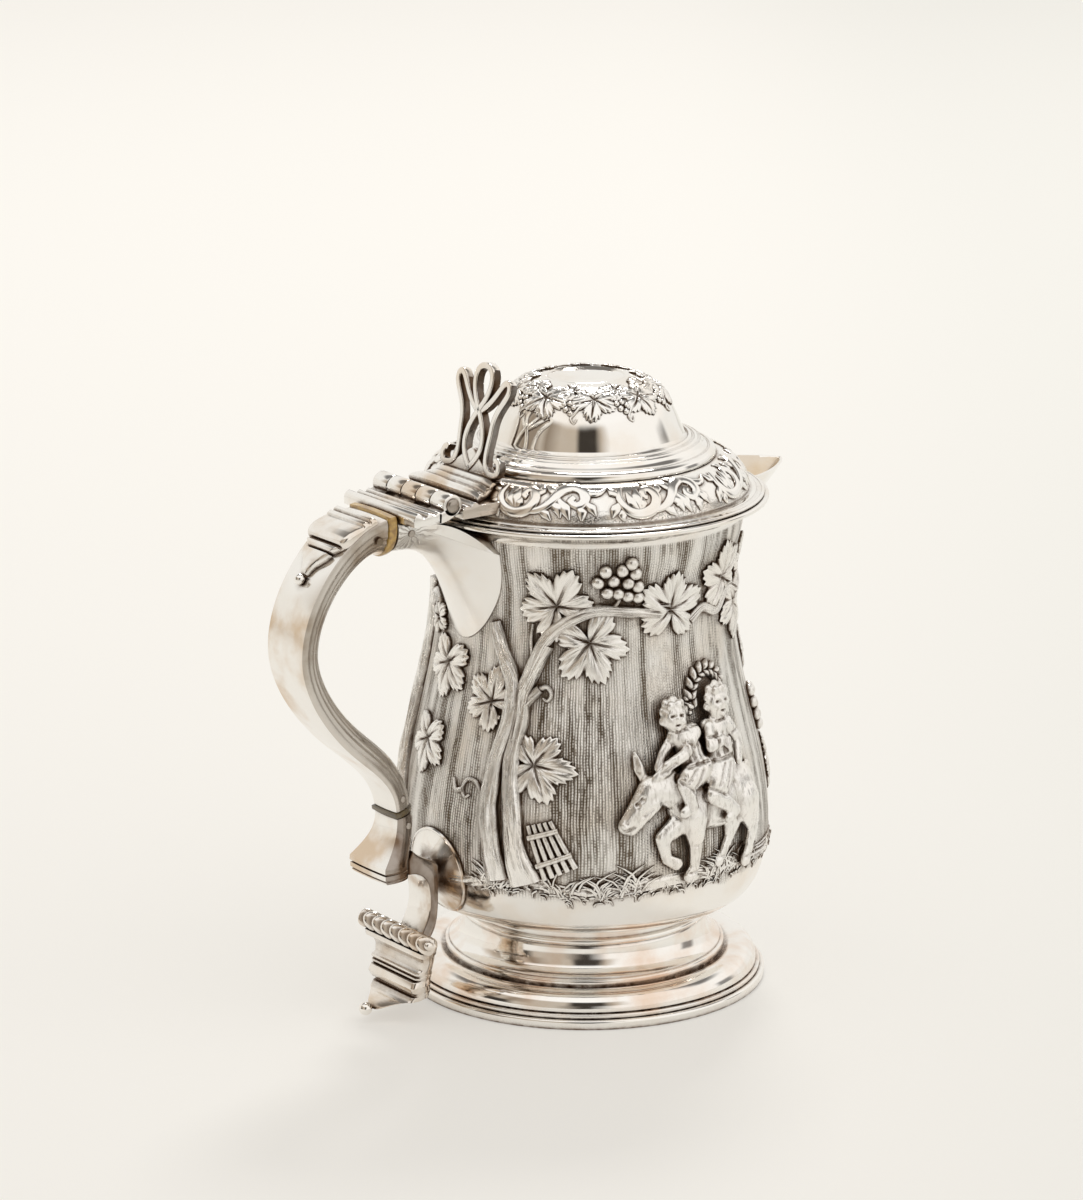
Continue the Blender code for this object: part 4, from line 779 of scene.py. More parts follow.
# The vine leaves: five toothed lobes each, the veins cut in with a fine tracer and a dimple punched
# in every notch. Their edges are undercut, so each one lies in its own dark outline.
LEAF_EDGE = (
    (0, 1), (6, 0.87), (9, 0.95), (15, 0.78), (18, 0.87), (25, 0.68), (28, 0.75), (33, 0.58), (37, 0.71),
    (42, 0.82), (46, 0.76), (51, 0.93), (55, 0.85), (61, 0.98), (67, 0.84), (71, 0.92), (77, 0.75),
    (82, 0.81), (88, 0.68), (95, 0.55), (100, 0.67), (106, 0.78), (111, 0.72), (117, 0.86), (122, 0.78),
    (129, 0.88), (136, 0.74), (141, 0.81), (149, 0.66), (155, 0.66), (163, 0.5), (171, 0.32), (180, 0.12))
LEAF_VEINS = (0.0, 61.0, 129.0)
LEAF_NOTCHES = (33.0, 95.0)
LEAF_LEVELS = (
    (0.05, 0.5), (0.16, 0.62), (0.28, 0.82), (0.4, 0.96), (0.52, 1.02), (0.64, 1), (0.76, 0.94),
    (0.87, 0.84), (0.95, 0.7), (1, 0.52), (0.985, 0.2), (0.95, -0.1), (0.65, -0.1), (0.35, -0.1),
    (0.06, -0.1))
LEAF_STEPS = 180


def vine_leaf(place, angle, mark, tilt, length, narrow=1.0, rise=1.7, seed=0):
    """One leaf laid on a wall with the end of its stalk at a place; the tilt turns its tip left of up."""
    width = degree_width(place, angle, mark)
    turn_way = math.radians(tilt)
    rings = []
    for reach, lift in LEAF_LEVELS:
        ring = []
        for step in range(LEAF_STEPS):
            degrees = 360.0 * step / LEAF_STEPS - 180.0
            skew = 1.0 + 0.14 * noise.noise(Vector((degrees / 45.0, seed * 3.1, 0.5)))
            size = length * read_off(LEAF_EDGE, abs(degrees)) * reach * skew
            vein = max(math.exp(-((abs(degrees) - middle) * reach / 2.0) ** 2) for middle in LEAF_VEINS)
            notch = max(math.exp(-((abs(degrees) - middle) / 3.2) ** 2) for middle in LEAF_NOTCHES)
            side_vein = abs(math.sin(math.radians(degrees * 7.0 + math.copysign(reach * 260.0, degrees))))
            swell = 0.16 * noise.noise(Vector((degrees / 30.0, reach * 2.0, seed * 1.7)))
            out = rise * (lift + swell - 0.5 * notch * reach ** 3) - 0.8 * vein * min(1.0, 1.3 - reach)
            out -= 0.16 * (1 - side_vein) ** 3
            if lift <= 0.2:
                out = rise * 0.25 if lift > 0 else -SUNK
            left = size * math.sin(math.radians(degrees)) * narrow
            up = size * math.cos(math.radians(degrees))
            across = -left * math.cos(turn_way) - up * math.sin(turn_way)
            climb = -left * math.sin(turn_way) + up * math.cos(turn_way)
            ring.append(place(angle + across / width, mark + climb, out))
        rings.append(ring)
    return skinned(rings)


CUP_LEAVES = (
    (-137.4, 138.6, 38, 14.5, 0.95), (-92.4, 135.6, -8, 13.6, 0.95), (-124.9, 126.9, 200, 14.5, 0.92),
    (-62.5, 141.6, 8, 14), (-143.6, 87.6, -98, 14.2, 0.9), (-161.5, 105.8, 52, 11.5), (173, 114, 172, 13),
    (169, 88, 176, 12), (160.5, 126, 20, 7.5), (-50, 131, 170, 12.5), (-36, 142, 20, 10.5),
    (47, 141, 12, 12.5), (36, 125, 190, 12.5), (92, 137.5, -20, 12), (98, 114, 175, 13),
    (126, 142, 10, 11.5), (122, 122, 200, 12.5), (56, 96, 100, 12.5), (88, 84, -80, 12.5),
    (112, 92, 170, 11.5), (14, 104, -60, 12), (-22, 112, 160, 11), (26, 78, 180, 12), (-26, 72, 100, 11.5))
leaf_shapes = [vine_leaf(on_cup, *leaf, seed=seed) for seed, leaf in enumerate(CUP_LEAVES)]
finished("vine_leaves", gathered(leaf_shapes), leaf_silver, "tankard", sharp=60.0)


# The grapes: small bosses punched up one by one, each with a tiny flat rubbed on its crown.
GRAPE_RADIUS = 2.15
GRAPE_SIDES = 14
GRAPE_BUNCHES = ((-113.0, 147.4), (-34.0, 92.0), (30.0, 112.0), (106.0, 104.0), (62.0, 118.0))
GRAPE_PLACES = (
    (3, 5.9), (-6.3, 3.5), (-0.3, 3.7), (4.7, 2.4), (-9, -0.3), (-3.3, 0.3), (2.2, -0.7), (6, -2.2),
    (-5.4, -3.9), (-1.4, -4.3), (2.4, -5.4), (6.2, -6))


def grape(place, angle, mark, radius, rise=0.85):
    """One grape: a ball laid on the wall, a little flattened, with a tiny flat on its crown."""
    width = degree_width(place, angle, mark)
    rings = []
    turns = [math.tau * step / GRAPE_SIDES for step in range(GRAPE_SIDES)]
    leans = [math.radians(12.0 + 13.0 * level) for level in range(8)]
    levels = [(radius * math.sin(lean), radius * rise * (math.cos(lean) + 0.35)) for lean in leans]
    for reach, out in levels + [(radius * 0.8, -SUNK)]:
        rings.append([place(angle + reach * math.cos(turn) / width, mark + reach * math.sin(turn), out)
                      for turn in turns])
    return skinned(rings)


grape_shapes = []
for centre, (angle, mark) in enumerate(GRAPE_BUNCHES):
    down = 1.0 if centre == 0 else -1.0
    for across, up in GRAPE_PLACES:
        grape_shapes.append(grape(on_cup, angle + across * down, mark + up * down, GRAPE_RADIUS))
finished("grape_bunches", gathered(grape_shapes), relief_silver, "tankard")


# The reed pipes: a row of cut reeds bound by two bands, leaning on the roots of the vine.
PIPE_CORNERS = ((-145.0, 68.4), (-136.4, 70.8), (-128.2, 56.2), (-139.6, 50.8))
PIPE_REEDS = 5


def on_pipes(across, down):
    """A spot inside the four corners of the reed pipes."""
    top = Vector(PIPE_CORNERS[0]).lerp(Vector(PIPE_CORNERS[1]), across)
    foot = Vector(PIPE_CORNERS[3]).lerp(Vector(PIPE_CORNERS[2]), across)
    return tuple(top.lerp(foot, down))


pipe_shapes = []
for across in ((index + 0.5) / PIPE_REEDS for index in range(PIPE_REEDS)):
    line = [on_pipes(across, down) for down in (0.0, 0.5, 1.0)]
    pipe_shapes.append(stem(on_cup, line, (1.45, 1.95), (1.4, 1.6), 0.0, 8, 2.0, crown=0.35))
for down in (0.21, 0.72):
    line = [on_pipes(across, down) for across in (0.0, 0.5, 1.0)]
    pipe_shapes.append(stem(on_cup, line, (1.9, 1.9), (2.2, 2.2), 0.0, 8, 2.0, crown=0.4))
finished("reed_pipes", gathered(pipe_shapes), relief_silver, "tankard")


# The turf: a ridge of earth all round the foot of the picture, with grass blades and roots chased
# above and below it in short curved strokes, no two alike.
BLADES = 640
CLUMPS = (
    (-157, 5), (-150, 9), (-134, 6), (-121, 5), (-112, 4), (-76, 12), (-8, 10), (75, 12), (154, 6), (30, 9),
    (-84, 5), (-68, 6))
BOSS_EDGE_ANGLE = 163.0
GROUND_LINE = (
    (-180, 46.4), (-164.4, 47.1), (-146.5, 50.6), (-134.1, 47.9), (-121.9, 46.6), (-109.6, 48.6),
    (-92.6, 49.6), (-70.3, 50), (-48.2, 49.2), (-20, 47.6), (10, 49), (40, 47.2), (75, 50.4), (105, 47.4),
    (140, 48.8), (165, 47), (180, 46.4))


def grass_blade(angle, mark, length, lean, width, rise):
    """One blade, bent over towards its tip."""
    turn = math.radians(lean)
    points = []
    for share, bend in ((0.0, 0.0), (0.5, 0.25), (1.0, 0.9)):
        across = length * share * math.sin(turn + bend * math.copysign(0.8, lean))
        climb = length * share * math.cos(turn + bend * math.copysign(0.5, lean))
        points.append((angle + across / degree_width(on_cup, angle, mark), mark + climb))
    return stem(on_cup, points, (width, width * 0.9, width * 0.2), (rise, rise, rise * 0.4), 0.0, 3, 2.6)


growth = random.Random(11)
turf_shapes = [stem(on_cup, GROUND_LINE, (3.6, 4.6, 3.2, 4.2), (1.0, 0.8, 1.1), 1.1, 12, 0.8, 3.5)]
for index in range(BLADES):
    if index % 2:
        clump, spread = CLUMPS[index // 2 % len(CLUMPS)]
        angle = clump + growth.gauss(0.0, 0.5) * spread
        length = growth.uniform(3.0, 9.5)
        lean = growth.gauss(0.0, 26.0) + (angle - clump) * 4.0
    else:
        angle = growth.uniform(-180.0, 180.0)
        length = growth.uniform(1.6, 4.0)
        lean = growth.gauss(0.0, 50.0)
    angle = (angle + 180.0) % 360.0 - 180.0
    start = read_off(GROUND_LINE, angle) + growth.uniform(-2.6, 0.6)
    width = growth.uniform(0.75, 1.5)
    rise = growth.uniform(0.7, 1.4)
    if abs(angle) < BOSS_EDGE_ANGLE:
        turf_shapes.append(grass_blade(angle, start, length, lean, width, rise))
for index in range(BLADES // 2):
    angle = growth.uniform(-180.0, 180.0)
    start = read_off(GROUND_LINE, angle) - growth.uniform(0.8, 4.2)
    lean = growth.choice((-1, 1)) * growth.uniform(55.0, 130.0)
    length = growth.uniform(1.4, 4.6)
    width = growth.uniform(0.5, 1.0)
    if abs(angle) < BOSS_EDGE_ANGLE:
        turf_shapes.append(grass_blade(angle, start, length, lean, width, 0.6))
turf_silver = hatched(silver_finish("turf_silver", 0.24, 0.2, 2.4, 1.6, 0.94), 700.0, 0.4, 0.5)
finished("turf", gathered(turf_shapes), turf_silver, "tankard")


# The riders: a donkey with two children in short tunics, the boldest part of the picture. It was raised
# from inside and finished with a tracer; hair, folds, hoofs and eyes are cut lines.
GROUP_ANGLE = -90.0
GROUP_FOOT = 50.0
GROUP_DEPTH = 0.6
GROUP_VOXEL = 0.42
DEGREES_PER_MM = 0.95
WREATH_CENTRE = (12.4, 55.4)
WREATH_RADIUS = 8.6
WREATH_LEAVES = 12
WREATH_LEAF = 4.6
donkey_limbs = (
    ((-3, 23.6, 0, 8), (8, 22.4, 0.6, 8.6), (21, 24.4, 0, 8.4)),
    ((-5, 27, 1.6, 6.4), (-12, 29.6, 3, 5), (-16.5, 30, 3.6, 4.3)),
    ((-17, 29.6, 3.8, 4.4), (-21.6, 24, 4, 3.4), (-25.6, 19.2, 4, 2.6)),
    ((-17, 26, 4.4, 3.5), (-24, 18.4, 4, 2.3)),
    ((-18.5, 33, 2, 1.5), (-20.2, 37, 2.4, 1.9), (-21.4, 41.5, 2.4, 0.7)),
    ((-15.2, 33.4, 6.4, 1.5), (-11.6, 35.6, 7, 2), (-7.6, 38.2, 7, 0.7)),
    ((-2.4, 20, 4.6, 5.2), (-2.2, 10.5, 4, 2.4), (-2.8, 3.6, 4, 1.8), (-4.4, 0.7, 4.2, 2.3)),
    ((-6, 18.6, 1.6, 4.2), (-13.6, 14.2, 3, 2.5), (-12.4, 7.2, 3, 1.7), (-8.8, 5.2, 3, 2.1)),
    ((21, 20.6, 4, 6.6), (24.4, 10.4, 4, 2.6), (21.4, 3.6, 4, 1.8), (20, 0.7, 4.2, 2.3)),
    ((16.4, 17.6, 0.6, 5.2), (13.8, 10, 1, 2.3), (10.2, 4.4, 1, 1.7), (8.6, 2.4, 1, 2)),
    ((28, 30, 1.6, 1.6), (31, 21, 1, 1.3), (30.2, 11, 1, 2)))
rider_limbs = (
    ((0.4, 34, 4, 5), (-1.2, 40, 4.4, 4.8), (-3.2, 44.6, 4.8, 4.4)),
    ((-7, 45.6, 4.8, 2.5), (0.8, 46.2, 5.4, 2.7)), ((-4.8, 47, 5.4, 2.6), (-6.6, 51.6, 6.2, 4.9)),
    ((0.6, 45.6, 7.4, 2.4), (-5, 39.6, 9.4, 2), (-11.4, 36.8, 8.4, 1.7)),
    ((-7.2, 45.4, 4.6, 2), (-11.6, 40.6, 4.6, 1.7), (-14, 36.4, 5, 1.5)),
    ((1, 33, 7.4, 3.8), (-6.2, 30.4, 9.6, 3), (-4.6, 23.4, 9.4, 2), (-7.6, 21.8, 10, 1.6)),
    ((1, 34, 7, 4.8), (-3.8, 32, 8.6, 4.1)), ((10, 33, 5, 5.2), (10.4, 40, 5.6, 4.7), (11.4, 45, 5.8, 4.5)),
    ((6.8, 46.6, 5.6, 2.5), (16.2, 46.4, 5.6, 2.5)), ((12, 48, 5.8, 2.5), (13, 53.4, 6.6, 5.1)),
    ((16.2, 46, 6.8, 2.4), (20, 40, 7.4, 2), (18, 33.6, 7.8, 1.7)),
    ((6.8, 46, 7.4, 2.3), (5.2, 40.2, 9.6, 1.9), (10.6, 41.4, 10.6, 1.7)),
    ((10, 33, 8, 4), (3.6, 25.6, 10.6, 3.1), (11.4, 19.4, 10.4, 2), (8.2, 17.4, 11, 1.6)),
    ((10.4, 33.2, 7.4, 5), (6.2, 28.8, 10, 4.2)))
hair_curls = (
    (-10.4, 53.6, 6, 1.7), (-10.9, 50.6, 6, 1.6), (-9.4, 56, 6.5, 1.7), (-6.6, 56.8, 7, 1.8),
    (-3.8, 55.6, 7, 1.7), (-2.4, 53, 6.5, 1.7), (-2.6, 50.4, 6, 1.5), (-8.4, 55.4, 9.2, 1.5),
    (-5.4, 55.6, 9.4, 1.5), (8.4, 55.4, 7, 1.7), (9.6, 57.8, 7, 1.8), (12.4, 58.8, 7.5, 1.9),
    (15.4, 58, 7, 1.8), (17.6, 55.8, 7, 1.7), (18.2, 52.8, 6.5, 1.7), (17.6, 49.8, 6, 1.6),
    (11.2, 57.4, 9.8, 1.5), (14.2, 57.4, 9.8, 1.5), (8, 52.6, 6, 1.5), (-8.2, 50.2, 9.6, 1.3),
    (-4.6, 50, 9.8, 1.3), (11, 51.8, 10.2, 1.35), (14.8, 51.8, 10.2, 1.35), (-6.4, 48, 9.4, 1.1),
    (12.9, 49.6, 10, 1.15), (-6.5, 51, 11.2, 0.75), (12.9, 52.8, 11.8, 0.8), (-26.2, 19.6, 6.4, 1.5),
    (-21, 26.6, 7, 1.2), (-12, 34.2, 5.4, 1.4), (-9, 33.6, 5.4, 1.5), (-6.4, 32.6, 5.2, 1.5),
    (12.6, 41.2, 11.4, 1.1), (13.4, 39.6, 11.2, 1.1), (11.8, 39.4, 11.6, 1.1), (12.6, 37.8, 11.2, 1))
cut_marks = (
    ((-22.2, 25.8), (-20.4, 27.4), 0.6, 2), ((-26, 20.4), (-25.7, 20), 0.45, 1.2),
    ((-26.4, 17.4), (-23.2, 19), 0.4, 1), ((-20.2, 22.2), (-17.2, 24), 0.5, 0.8),
    ((-20.7, 35.6), (-21.2, 40), 0.6, 1.4), ((-13.6, 34.6), (-8.8, 37.4), 0.6, 1.4),
    ((-8.2, 33), (-5, 22), 0.7, 1.1), ((-12, 25.4), (-8.6, 20.6), 0.6, 0.9),
    ((2.4, 24), (1.6, 14.6), 0.8, 1.4), ((14.6, 27), (16.2, 15.6), 0.9, 1.5),
    ((26.4, 26), (27, 17), 0.6, 0.9), ((-5, 1.8), (-2.2, 2.2), 0.4, 1), ((18.8, 1.8), (22, 2.2), 0.4, 1),
    ((-10.6, 6.8), (-9.6, 4), 0.4, 0.9), ((7.8, 3.8), (10.6, 4.2), 0.4, 0.9),
    ((-3.6, 10.4), (-0.8, 10.4), 0.5, 0.6), ((22.8, 10.8), (26, 10.8), 0.5, 0.6),
    ((4, 17), (12, 15.6), 0.5, 0.7), ((-2.4, 43.4), (-1.2, 36), 0.45, 1.1),
    ((-4.8, 43), (-3.2, 37), 0.45, 1), ((0.8, 42.6), (1.4, 36), 0.45, 1),
    ((-4.6, 35.4), (3.4, 36.4), 0.5, 1.5), ((-2.4, 34.4), (-6, 30.8), 0.4, 1.1),
    ((0.2, 33.8), (-3, 29), 0.4, 1.1), ((8.4, 44.2), (7.8, 36.8), 0.45, 1.1),
    ((11.2, 43.6), (10.8, 36.4), 0.45, 1), ((14, 44), (13.8, 36.6), 0.45, 1.1),
    ((6.4, 35.8), (15, 36), 0.5, 1.5), ((9, 34.2), (4.8, 28.2), 0.4, 1.1),
    ((11.6, 34), (8, 27.2), 0.4, 1.1), ((13.8, 34.4), (11.4, 29), 0.4, 1),
    ((-8.7, 51.9), (-7.7, 52), 0.45, 1.5), ((-5.4, 52), (-4.4, 51.9), 0.45, 1.5),
    ((-7.2, 48.9), (-5.8, 48.9), 0.32, 1.1), ((10.6, 53.6), (11.6, 53.7), 0.45, 1.5),
    ((14.2, 53.7), (15.2, 53.6), 0.45, 1.5), ((12.2, 50.5), (13.6, 50.5), 0.32, 1.1),
    ((-3.6, 43.2), (-1, 41.2), 0.4, 1.2), ((-9.6, 44.4), (-8.2, 42.8), 0.4, 1),
    ((17, 42.4), (20.2, 43.4), 0.4, 1.2), ((4.6, 43.4), (7.8, 43), 0.4, 1.2),
    ((-6.8, 46.6), (-2.6, 47.4), 0.4, 1.1), ((9.8, 47.6), (14.4, 47.6), 0.4, 1.1),
    ((-8.4, 31.6), (-3.8, 27.8), 0.4, 1.3), ((1.8, 28), (7.2, 24.8), 0.4, 1.3))


def limb(joints):
    """A run of rounded, tapering links between joints, each an (across, up, out, radius)."""
    links = []
    for pair in zip(joints, joints[1:]):
        link = bmesh.new()
        for *centre, radius in pair:
            bmesh.ops.create_icosphere(link, subdivisions=4 if radius > 3.0 else 3, radius=radius,
                                       matrix=Matrix.Translation(centre))
        hull = set(bmesh.ops.convex_hull(link, input=link.verts)["geom"])
        bmesh.ops.delete(link, geom=[face for face in link.faces if face not in hull], context="FACES")
        links.append(link)
    return links


def remeshed(shape, voxel, passes):
    """Melt overlapping shapes into one smooth skin."""
    clay = as_object(shape)
    melt = clay.modifiers.new("melt", "REMESH")
    melt.mode = "VOXEL"
    melt.voxel_size = voxel
    rub = clay.modifiers.new("rub", "SMOOTH")
    rub.factor = 0.5
    rub.iterations = passes
    skin = as_shape(clay)
    bpy.data.objects.remove(clay)
    return skin


def carved(shape, marks, seed):
    """Cut tracer lines into a figure's front, and ruffle it a little so that it isn't smooth as glass."""
    lines = [(Vector(start), Vector(end) - Vector(start), width, depth) for start, end, width, depth in marks]
    for point in shape.verts:
        spot = point.co.xy
        cut = 0.12 * noise.noise(Vector((spot.x * 0.7, spot.y * 0.7, seed)))
        for start, way, width, depth in lines:
            offset = spot - start
            if abs(offset.x) > abs(way.x) + 3.0 or abs(offset.y) > abs(way.y) + 3.0:
                continue
            share = min(max(offset.dot(way) / max(way.length_squared, 1e-6), 0.0), 1.0)
            gap = (offset - way * share).length
            cut += depth * math.exp(-(gap / width) ** 2)
        point.co.z -= cut


def on_group(across, up):
    """A spot of the riders' picture, in millimetres from its middle and foot, as an angle and a height."""
    return GROUP_ANGLE + across * DEGREES_PER_MM, GROUP_FOOT + up


figure_shapes = []
for joints in donkey_limbs + rider_limbs:
    figure_shapes += limb(joints)
for across, up, out, radius in hair_curls:
    curl = bmesh.new()
    centre = Matrix.Translation((across, up, out))
    bmesh.ops.create_icosphere(curl, subdivisions=2, radius=radius, matrix=centre)
    figure_shapes.append(curl)
figures = remeshed(gathered(figure_shapes), GROUP_VOXEL, 3)
carved(figures, cut_marks, 4.0)
for point in figures.verts:
    across, up, out = point.co
    point.co = on_cup(*on_group(across, up), max(out, -1.0) * GROUP_DEPTH)
finished("donkey_and_riders", figures, relief_silver, "tankard", sharp=70.0)

wreath = []
for index in range(WREATH_LEAVES):
    turn = math.radians(blend(200.0, -25.0, index / (WREATH_LEAVES - 1)))
    root = Vector(WREATH_CENTRE) + Vector((math.cos(turn), math.sin(turn))) * WREATH_RADIUS
    for splay in (-0.75, 0.6):
        lean = turn - math.pi / 2 + splay
        way = Vector((math.cos(lean), math.sin(lean))) * WREATH_LEAF
        line = [on_group(*(root + way * share)) for share in (0.0, 0.5, 1.0)]
        wreath.append(stem(on_cup, line, (0.5, 2.0, 2.3, 1.4, 0.3), (1.4, 2.4, 2.3, 1.9, 1.0), 0.0, 8, 0.6))
for across, up in ((2.2, 56.2), (3.4, 54.0), (1.4, 53.4), (4.6, 56.4), (3.0, 51.6), (5.2, 53.4)):
    wreath.append(grape(on_cup, *on_group(across, up), 1.1))
finished("riders_wreath", gathered(wreath), relief_silver, "tankard", sharp=60.0)


# The rim: a drawn wire soldered round the lip, rounded outside, cut through behind the pouring lip.
# Years of handling have left it the brightest edge of the cup.
RIM_WIDTH = 3.4
rim_radius = span("rim_wire")[1].y
rim_low = span("rim_wire")[0].z
rim_line = softened([(rim_radius - RIM_WIDTH, rim_low), (rim_radius, rim_low), (rim_radius, rim_height),
                     (rim_radius - RIM_WIDTH, rim_height)], 0.75, 5)
finished("rim_band", sawn(spun(rim_line), lip_opening()), bright_silver, "tankard", "rim_wire")


# The pouring lip: a beak hammered from sheet, let into the rim opposite the handle at a later date.
# Its walls are soldered to the sawn edges of the cup, so it is open above and behind.
BEAK_HALF_WIDTH = 17.0
BEAK_DEPTH = 24.0
BEAK_WALL = 1.3
BEAK_STEPS = 30
BEAK_TAN = (0.74, 0.6, 0.43, 1.0)
beak_tip = span("spout")[1].x
beak_top = span("spout")[1].z
beak_root = WAIST_RADIUS - 4.0
beak_rings = []
for step in range(BEAK_STEPS):
    share = 0.04 + 0.96 * math.sin(math.pi / 2 * step / (BEAK_STEPS - 1))
    x = blend(beak_root, beak_tip, share)
    onward = max(x - rim_radius + 2.0, 0.0) / (beak_tip - rim_radius + 2.0)
    spread = max(BEAK_HALF_WIDTH * max(1.0 - onward ** 1.35, 0.0) ** 0.75, 0.3)
    keel = rim_height - BEAK_DEPTH + (beak_top - 1.2 - rim_height + BEAK_DEPTH) * share ** 1.7
    inner_spread = max(spread - BEAK_WALL, 0.1)
    inner_keel = min(keel + 1.6 * BEAK_WALL, beak_top - 0.4)
    walls = ((spread, keel, range(-10, 11)), (inner_spread, inner_keel, range(10, -11, -1)))
    ring = []
    for half, floor, sides in walls:
        ring += [(x, half * side / 10, floor + (beak_top - floor) * abs(side / 10) ** 1.35) for side in sides]
    beak_rings.append(ring)
inside_of_wall = [(0.0, cup_base)] + shifted(outer_line, CUP_WALL / 2)
inside_of_wall += [(LIP_RADIUS - 0.5, rim_height + 9.0), (0.0, rim_height + 9.0)]
beak_shape = sawn(skinned(beak_rings), spun(inside_of_wall, False))
beak = finished("pouring_lip", beak_shape, bright_silver, "tankard", "spout")
refinished(beak, silver_finish("lip_inside", 0.36, 0.8, 2.5, 0.9, tint=BEAK_TAN, even_stain_and_shade=0.6),
           lambda face: face.normal.z > 0.1 and face.center.z < (beak_top - 0.3) * MM)


# The handle: a cast scroll, flat and faintly crowned outside, rounded towards the hand, with two fine
# lines cut along each side. It hangs between two collars and never touches the hot cup itself.
GRIP_TOP = (-85.55, 169.8)
GRIP_OUT = (-117.5, 129.05)
GRIP_LOW = (-96.1, 92.45)
GRIP_END = (-79.9, 71.4)
GRIP_WIDTHS = (22.0, 20.0, 13.0)
GRIP_DEPTHS = (13.4, 10.0, 7.8)
GRIP_KNEE = 0.45
FACE_CROWN = 0.4
HAND_TARNISH = (0.7, 0.56, 0.42, 1.0)
HANDLE_SIDE_SHADE = (0.36, 0.29, 0.22, 1.0)
SIDE_LINES = (0.09, 0.17, 0.26)
SIDE_LINE_DEPTH = 0.045


def between(start, end, across, along):
    """A spot between two, by its own share across and its own share up."""
    return blend(start[0], end[0], across), blend(start[1], end[1], along)


def grip_size(share):
    """Half width and depth of the handle at a share of its length."""
    if share < GRIP_KNEE:
        part = share / GRIP_KNEE
        half_width = blend(GRIP_WIDTHS[0], GRIP_WIDTHS[1], part) / 2
        return half_width, blend(GRIP_DEPTHS[0], GRIP_DEPTHS[1], part ** 0.5)
    part = (share - GRIP_KNEE) / (1.0 - GRIP_KNEE)
    half_width = blend(GRIP_WIDTHS[1], GRIP_WIDTHS[2], part ** 1.4) / 2
    return half_width, blend(GRIP_DEPTHS[1], GRIP_DEPTHS[2], part)


def signed_power(value, power):
    """A power that keeps its value's sign."""
    return math.copysign(abs(value) ** power, value)


def d_section(half_width, depth, fullness=2.0, lines=()):
    """A flat-backed section of (across, inward) points: a crowned face, soft edges and a rounded inside."""
    section = []
    for step in range(-6, 7):
        side = step / 6.0
        section.append((half_width * side * (0.97 if abs(step) == 6 else 1.0), -FACE_CROWN * (1 - side ** 2)))
    for step in range(1, 40):
        turn = math.pi * step / 40
        groove = sum(math.exp(-((min(turn, math.pi - turn) / math.pi - line) / 0.012) ** 2) for line in lines)
        size = 1.0 - SIDE_LINE_DEPTH * groove
        across = signed_power(math.cos(turn), 2.0 / fullness)
        section.append((half_width * across * size, depth * math.sin(turn) ** (2.0 / fullness) * size + 0.25))
    return section


def at_station(place, along, section):
    """Set a flat section on the handle's line."""
    inward = Vector((-along.y, along.x))
    return [(place.x + inward.x * depth, across, place.y + inward.y * depth) for across, depth in section]


worn_silver = silver_finish("worn_silver", 0.13, 1.1, 2.6, 1.3, 0.93, HAND_TARNISH)
grip = [Vector(point) for point in chained(
    GRIP_TOP,
    (between(GRIP_TOP, GRIP_OUT, 0.44, 0.03), between(GRIP_OUT, GRIP_TOP, 0.0, 0.47), GRIP_OUT, 36),
    (between(GRIP_OUT, GRIP_LOW, 0.0, 0.36), between(GRIP_LOW, GRIP_OUT, 0.51, 0.26), GRIP_LOW, 27),
    (between(GRIP_LOW, GRIP_END, 0.47, 0.31), between(GRIP_END, GRIP_LOW, 0.06, 0.43), GRIP_END, 27))]
grip_ways = directions(grip)
grip_rings = [at_station(place, along, d_section(*grip_size(index / (len(grip) - 1)), lines=SIDE_LINES))
              for index, (place, along) in enumerate(zip(grip, grip_ways))]
handle_piece = finished("scroll_handle", skinned(grip_rings), worn_silver, "tankard", "handle")
# Painted shade: the handle's side faces get a darker brown copy of its finish.
refinished(handle_piece, silver_finish("handle_sides", 0.2, 0.6, 2.6, 1.5, 0.96, HANDLE_SIDE_SHADE, 0.45),
           lambda face: abs(face.normal.y) > 0.7)


# The collars: two slips of stained horn that stop the cup's heat at the handle. The upper one is thick
# and honey brown, the lower one a thin dark line; both are rubbed smooth at their edges.
COLLAR_THICKNESS = 3.2
COLLAR_PROUD = 0.7
HORN_HONEY = ((0.62, 0.41, 0.13, 1.0), (0.34, 0.19, 0.05, 1.0))
HORN_DARK = ((0.16, 0.12, 0.06, 1.0), (0.07, 0.05, 0.028, 1.0))


def horn_finish(name, colours):
    """Stained horn: wavy growth lines under a soft polish."""
    surface = bpy.data.materials.new(name)
    surface.use_nodes = True
    tree = surface.node_tree
    shader = tree.nodes["Principled BSDF"]
    stretch = added(tree, "Mapping", {"Vector": object_place(tree), "Scale": (1.0, 0.25, 1.0)})
    lines = noise_at(stretch.outputs[0], 700.0, 4.0)
    feed(shader.inputs["Base Color"], mixed(remapped(lines, 0.35, 0.68), *colours))
    feed(shader.inputs["Roughness"], remapped(lines, 0.3, 0.7, 0.2, 0.34))
    shader.inputs["Coat Weight"].default_value = 0.6
    bumped(shader, lines, 0.08, 0.5)
    return surface


def collar(start, along, half_width, depth, thickness):
    """A slip with the handle's own section, a little proud of it, its edges rubbed round."""
    inward = Vector((-along.y, along.x))
    rings = []
    for share, proud in ((0.0, -0.5), (0.06, 0.5), (0.2, 1.0), (0.8, 1.0), (0.94, 0.5), (1.0, -0.5)):
        grow = COLLAR_PROUD * proud
        section = d_section(half_width + grow, depth + 2 * grow)
        rings.append(at_station(start - inward * grow + along * thickness * share, along, section))
    return skinned(rings)


